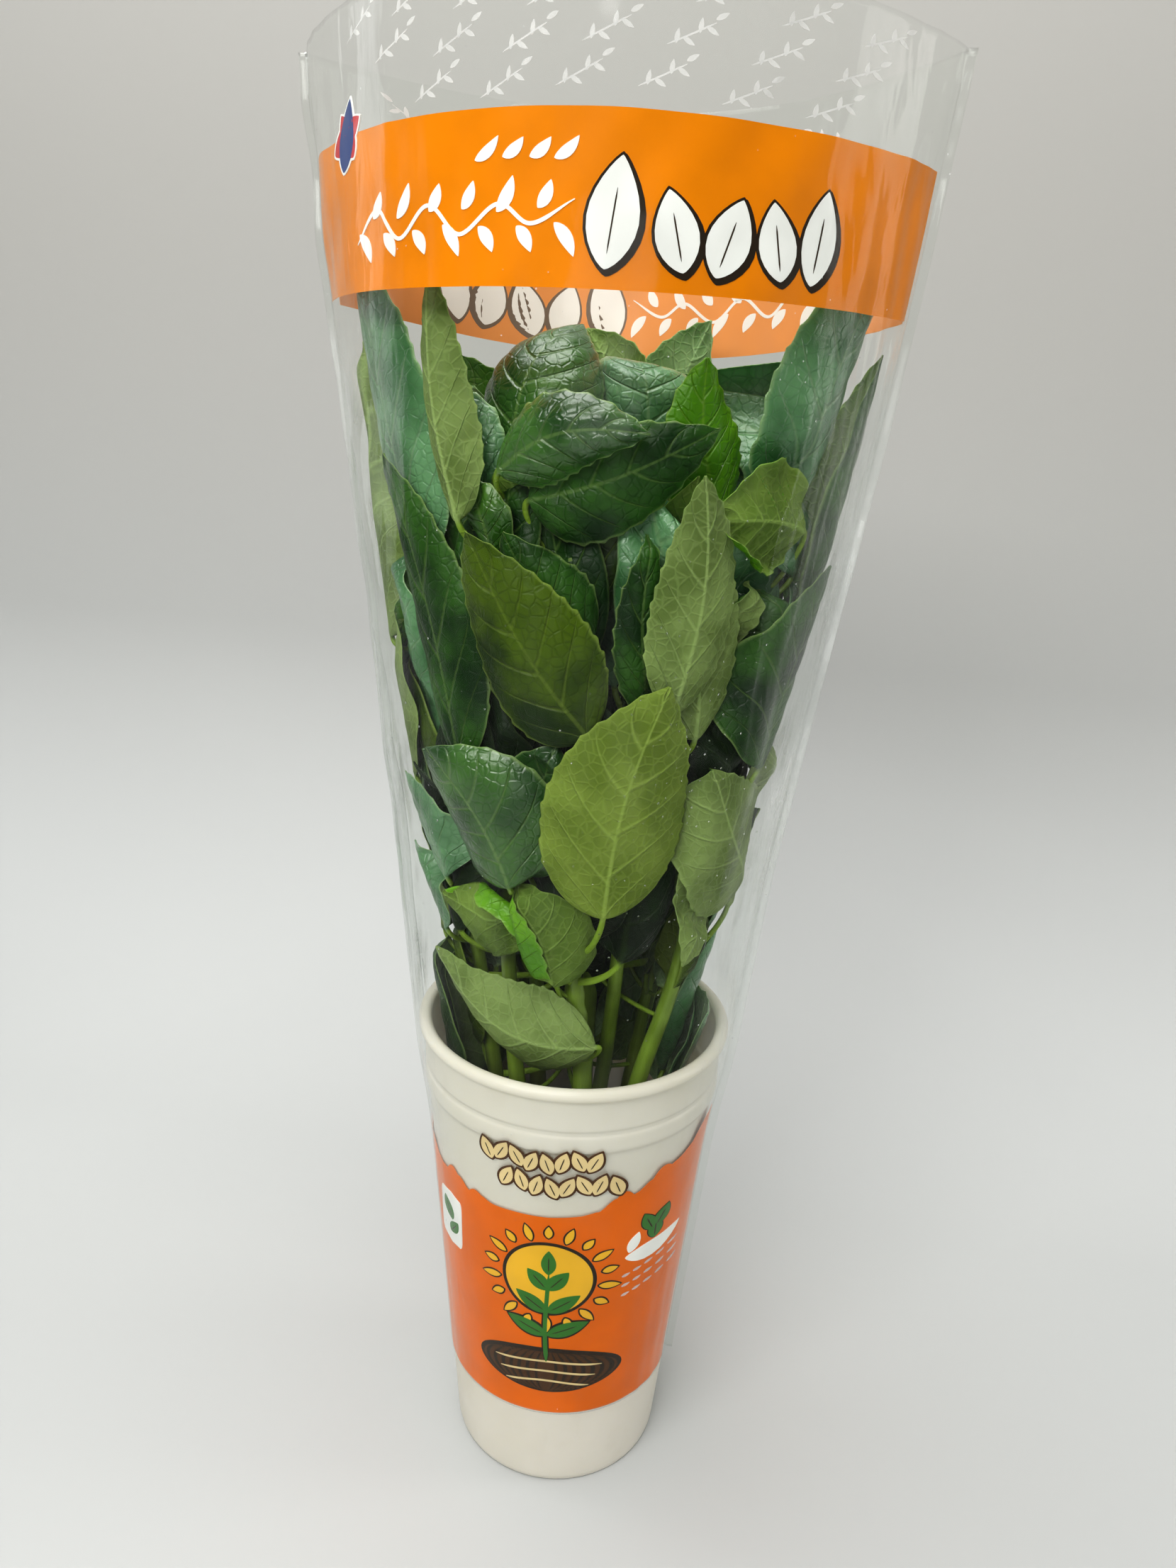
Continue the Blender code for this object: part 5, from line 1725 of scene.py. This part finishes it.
    def lower_field(self) -> None:
        """The deep orange field round the foot, whose upper edge dips and carries a leafy outline."""
        across = shares_across(260)
        a = across * 49.5
        edge_a = (-50, -41, -30, -18, 4, 18, 33, 42, 50)
        top = np.interp(a, edge_a, (121, 119.5, 119, 119, 119.5, 121, 126, 131, 139))
        high = smoothstep(14, 30, np.abs(a))
        crowns = np.abs(np.sin(a * 0.62)) ** 0.6 * 1.6 + np.abs(np.sin(a * 0.27 + 0.8)) ** 1.5 * 3.4
        self.ground(DEEP_ORANGE, 34.4 + 0 * a, top + crowns * high, across, 60)

    def garland(self) -> None:
        """Two rows of cream leaves with brown edges, where the cup shows above the field."""
        for row, (start, z) in enumerate(((-16.5, 142), (-10.0, 132.5))):
            for column in range(8):
                a = start + 4.9 * column
                tilt = (22 if (column + row) % 2 else -22) + 6 * math.sin(2.1 * column)
                rise = 0.9 * math.sin(1.3 * column + row)
                self.outlined_leaf(CREAM, BROWN, (a, z + rise), 8.2, 4.4, tilt, 0.8)

    def sun_and_seedling(self) -> None:
        """The middle motif: a sun with short rays, and a seedling on a mound before it."""
        centre = np.array([4.0, 94.0])
        for index in range(18):
            angle = 2 * math.pi * index / 18
            place = centre + 19.6 * np.array([math.sin(angle), math.cos(angle)])
            length = 6.4 if index % 2 else 4.6
            self.outlined_leaf(YELLOW, DARK, place, length, 2.5, math.degrees(angle), 0.6, rib=False)
        self.disc(DARK, (4, 94), 15.4)
        self.disc(YELLOW, (4, 94), 14.2)
        self.disc(DARK, (4, 54), 24, 0.42)
        self.disc(BROWN, (4, 53.4), 22.8, 0.39)
        for level in range(3):
            z = 58 - 4.4 * level
            self.stroke(CREAM, [(-14 + 2 * level, z - 2.5), (4, z), (22 - 2 * level, z - 2.5)], 0.8, 24)
        for ink, width in ((DARK, 2.4), (GREEN, 1.4)):
            self.stroke(ink, [(4, 58), (3.4, 74), (4.3, 96)], width, 20)
        for z, size, tilt in ((70, 14.5, 66), (80, 13, 54), (89.5, 10.5, 40)):
            for side in (-1, 1):
                out, up = direction(tilt)
                place = (4 + side * 0.5 * size * out, z + 0.5 * size * up)
                self.outlined_leaf(GREEN, DARK, place, size, 5.6, side * tilt, 0.8)
        self.outlined_leaf(GREEN, DARK, (4.2, 101), 10, 5.0, 0, 0.8)

    def side_marks(self) -> None:
        """A white tag with a leaf on the left, and a white drop under three leaves on the right."""
        spine = np.stack([np.full(24, -32.5), np.linspace(90, 112, 24)], axis=-1)
        t = np.linspace(-1, 1, 24)
        self.ribbon(WHITE, spine, 5.0 * (1 - t**10) ** 0.3, 7)
        self.outlined_leaf(GREEN, DARK, (-33.6, 104.5), 8.6, 4.4, -24, 0.3)
        self.outlined_leaf(GREEN, DARK, (-31.0, 98), 7.4, 3.8, 30, 0.3)
        self.leaf(WHITE, (35, 102.5), 15.5, 6.5, 74, curl=0.12)
        self.leaf(WHITE, (30, 106), 8, 3.4, 20)
        for index in range(15):
            a = 28 + 3.2 * (index % 5)
            self.leaf(FROST, (a, 93 - 4.2 * (index // 5) + 0.35 * (a - 28)), 2.6, 1.2, 70, points=6)
        for a, z, tilt in ((34, 112.5, -18), (37.6, 112.8, 26), (35.9, 108.8, 4)):
            self.outlined_leaf(GREEN, DARK, (a, z), 8.2, 4.0, tilt, 0.3)

    def build(self, materials: dict[Ink, Material]) -> None:
        """Draw all the marks, then make one piece for each ink."""
        for draw in (self.band, self.badge, self.sprigs, self.lower_field, self.garland,
                     self.sun_and_seedling, self.side_marks):
            draw()
        for ink, skin in self.skins.items():
            skin.piece(f"{ink.name}_{self.facing.name.lower()}", materials[ink], sharp=50)


@dataclass
class Droplets:
    """Fine water drops that hang inside the film."""

    count: int = 260

    def build(self, sleeve: Sleeve) -> None:
        """Scatter flattened beads over the film's inner side, most on its lower right."""
        made, s, shader = new_material("water")
        s.put_all(
            shader, Base_Color=(0.95, 0.97, 0.96), Roughness=0.03, Transmission_Weight=1, IOR=1.33,
            Normal=s.bump(s.noise(s.place(), 900), 0.02 * MM),
        )
        draw = np.random.default_rng(17)
        right = draw.uniform(0, 1, self.count) < 0.7
        share = np.where(right, draw.normal(0.6, 0.18, self.count), draw.uniform(-0.85, 0.85, self.count))
        share = np.clip(share, -0.9, 0.9)
        z = np.clip(draw.normal(262, 36, self.count), 186, 360) * MM
        radii = draw.uniform(0.12, 0.42, self.count) ** 1.3 * MM
        centres = sleeve.place(share, z, Facing.FRONT, 0.08 * MM)
        outward = sleeve.place(share, z, Facing.FRONT) - sleeve.place(share, z, Facing.FRONT, 1 * MM)
        skin = Skin()
        skin.beads(centres, outward, radii, 0.55)
        skin.piece("water_drops", made)


# ---------------------------------------------------------------- studio


# Soft lights: name, place, the point aimed at, size, power in watts and colour.
LIGHTS = (
    ("top", (-0.1, -0.12, 1.25), (0, 0.0, 0.1), (1.0, 0.75), 12.5, (1.0, 0.995, 0.98)),
    ("front", (-0.25, -0.95, 0.95), (0, 0, 0.22), (0.9, 0.4), 9.5, (1.0, 0.99, 0.97)),
    ("low", (0.25, -1.3, 0.3), (0, 0, 0.1), (0.7, 0.25), 1.3, (1.0, 0.99, 0.97)),
    ("left", (-1.1, 0.2, 0.55), (0, 0, 0.28), (0.35, 1.1), 1.5, (0.97, 0.99, 1.0)),
    ("right", (1.1, 0.2, 0.55), (0, 0, 0.28), (0.35, 1.1), 3.4, (1.0, 0.98, 0.95)),
)


@dataclass
class Studio:
    """A pale seamless sweep, soft lights and the camera."""

    curve_start: float = 0.13
    curve_radius: float = 0.22
    width: float = 4.0
    front: float = 2.0
    height: float = 2.4

    def sweep(self) -> None:
        """The floor, which turns up through a quarter circle into the wall; the wall's darker grey is
        painted shade. It is clear from behind.
        """
        angle = np.linspace(0, 0.5 * math.pi, 33)
        curve_y = self.curve_start + self.curve_radius * np.sin(angle)
        curve_z = self.curve_radius * (1 - np.cos(angle))
        y = np.concatenate([[-self.front], curve_y, [self.curve_start + self.curve_radius]])
        z = np.concatenate([[0], curve_z, [self.height]])
        line = np.stack([0 * y, y, z], axis=-1)
        aside = np.array((0.5 * self.width, 0, 0))
        grid = np.stack([line + aside, line - aside], axis=1)
        made, s, shader = new_material("studio_paper")
        paper = s.mix(s.noise(s.place(), 3, 2), srgb(179, 181, 180), srgb(187, 189, 188))
        # The wall part is painted a darker grey than the floor of the same paper: painted shade for the
        # weaker light on the upright wall.
        rise = s.step(s.parts(s.place())[2], 0.02, 0.5)
        s.put_all(shader, Base_Color=s.mix(rise, paper, srgb(166, 165, 161)), Roughness=0.9)
        behind = s.node("ShaderNodeNewGeometry").outputs["Backfacing"]
        s.cover(behind, shader.outputs[0], s.node("ShaderNodeBsdfTransparent").outputs[0])
        skin = Skin()
        skin.add(grid.reshape(-1, 3), grid_quads(*grid.shape[:2]))
        skin.piece("studio_sweep", made)

    def light(self, name: str, place: Place, aim: Place, size: Spot, power: float, colour: Colour) -> None:
        """A rectangular soft light at a place, aimed at a point."""
        data = bpy.data.lights.new(name, "AREA")
        data.shape, data.size, data.size_y = "RECTANGLE", *size
        data.energy, data.color = power, colour
        made = bpy.data.objects.new(name, data)
        made.visible_camera = False
        bpy.context.scene.collection.objects.link(made)
        turn = (Vector(aim) - Vector(place)).to_track_quat("-Z", "Y").to_matrix().to_4x4()
        made.matrix_world = Matrix.Translation(place) @ turn

    def camera(self) -> None:
        """The camera: its place, and its aim from its pitch, yaw and roll."""
        pitch, yaw, roll = np.radians((18.12, -10.52, 2.79))
        level = math.cos(pitch)
        ahead = np.array([math.sin(yaw) * level, math.cos(yaw) * level, -math.sin(pitch)])
        level_right = np.cross(ahead, (0, 0, 1))
        level_right /= np.linalg.norm(level_right)
        level_up = np.cross(level_right, ahead)
        right = math.cos(roll) * level_right + math.sin(roll) * level_up
        up = math.cos(roll) * level_up - math.sin(roll) * level_right
        data = bpy.data.cameras.new("camera")
        data.sensor_fit, data.sensor_height, data.lens = "VERTICAL", 36, 26.35
        data.clip_start = 0.01
        made = bpy.data.objects.new("camera", data)
        bpy.context.scene.collection.objects.link(made)
        turn = Matrix(np.stack([right, up, -ahead], axis=1).tolist()).to_4x4()
        made.matrix_world = Matrix.Translation((0.0640, -0.3396, 0.3605)) @ turn
        bpy.context.scene.camera = made

    def build(self) -> None:
        """Make the sweep, the lights, the even surroundings and the camera."""
        self.sweep()
        for name, place, aim, size, power, colour in LIGHTS:
            self.light(name, place, aim, size, power, colour)
        world = bpy.data.worlds.new("surroundings")
        bpy.context.scene.world = world
        world.use_nodes = True
        s = Shading(world.node_tree)
        seen = s.node("ShaderNodeLightPath").outputs["Is Camera Ray"]
        s.put_all(
            world.node_tree.nodes["Background"],
            Color=(0.93, 0.95, 1.0), Strength=s.plus(0.1, s.times(seen, 0.45)),
        )
        bpy.context.scene.view_settings.view_transform = "Standard"
        bpy.context.scene.view_settings.look = "Medium High Contrast"
        self.camera()


# ---------------------------------------------------------------- all of it


def main() -> None:
    """Build the studio, the cup and what it holds, the plants, and the printed sleeve."""
    logging.basicConfig(level=logging.INFO, format="%(message)s")
    Studio().build()
    mottle, veins = mottle_group(), vein_group()
    Cup().build(mottle)
    GrowingMedium().build(mottle)
    plants = Plants()
    materials = {finish.name: finish.material(veins, mottle) for finish in FINISHES}
    plants.build_stems(plants.stem_material(mottle))
    plants.build_leaves(materials)
    plants.build_tips(materials[FRESH_AND_GLOW.name])
    sleeve = Sleeve()
    panels = sleeve.build()
    inks = {ink: ink.material(mottle) for ink in INKS}
    for facing, panel in panels.items():
        Artwork(sleeve, facing).build(inks)
    Droplets().build(sleeve)


if __name__ == "__main__":
    main()
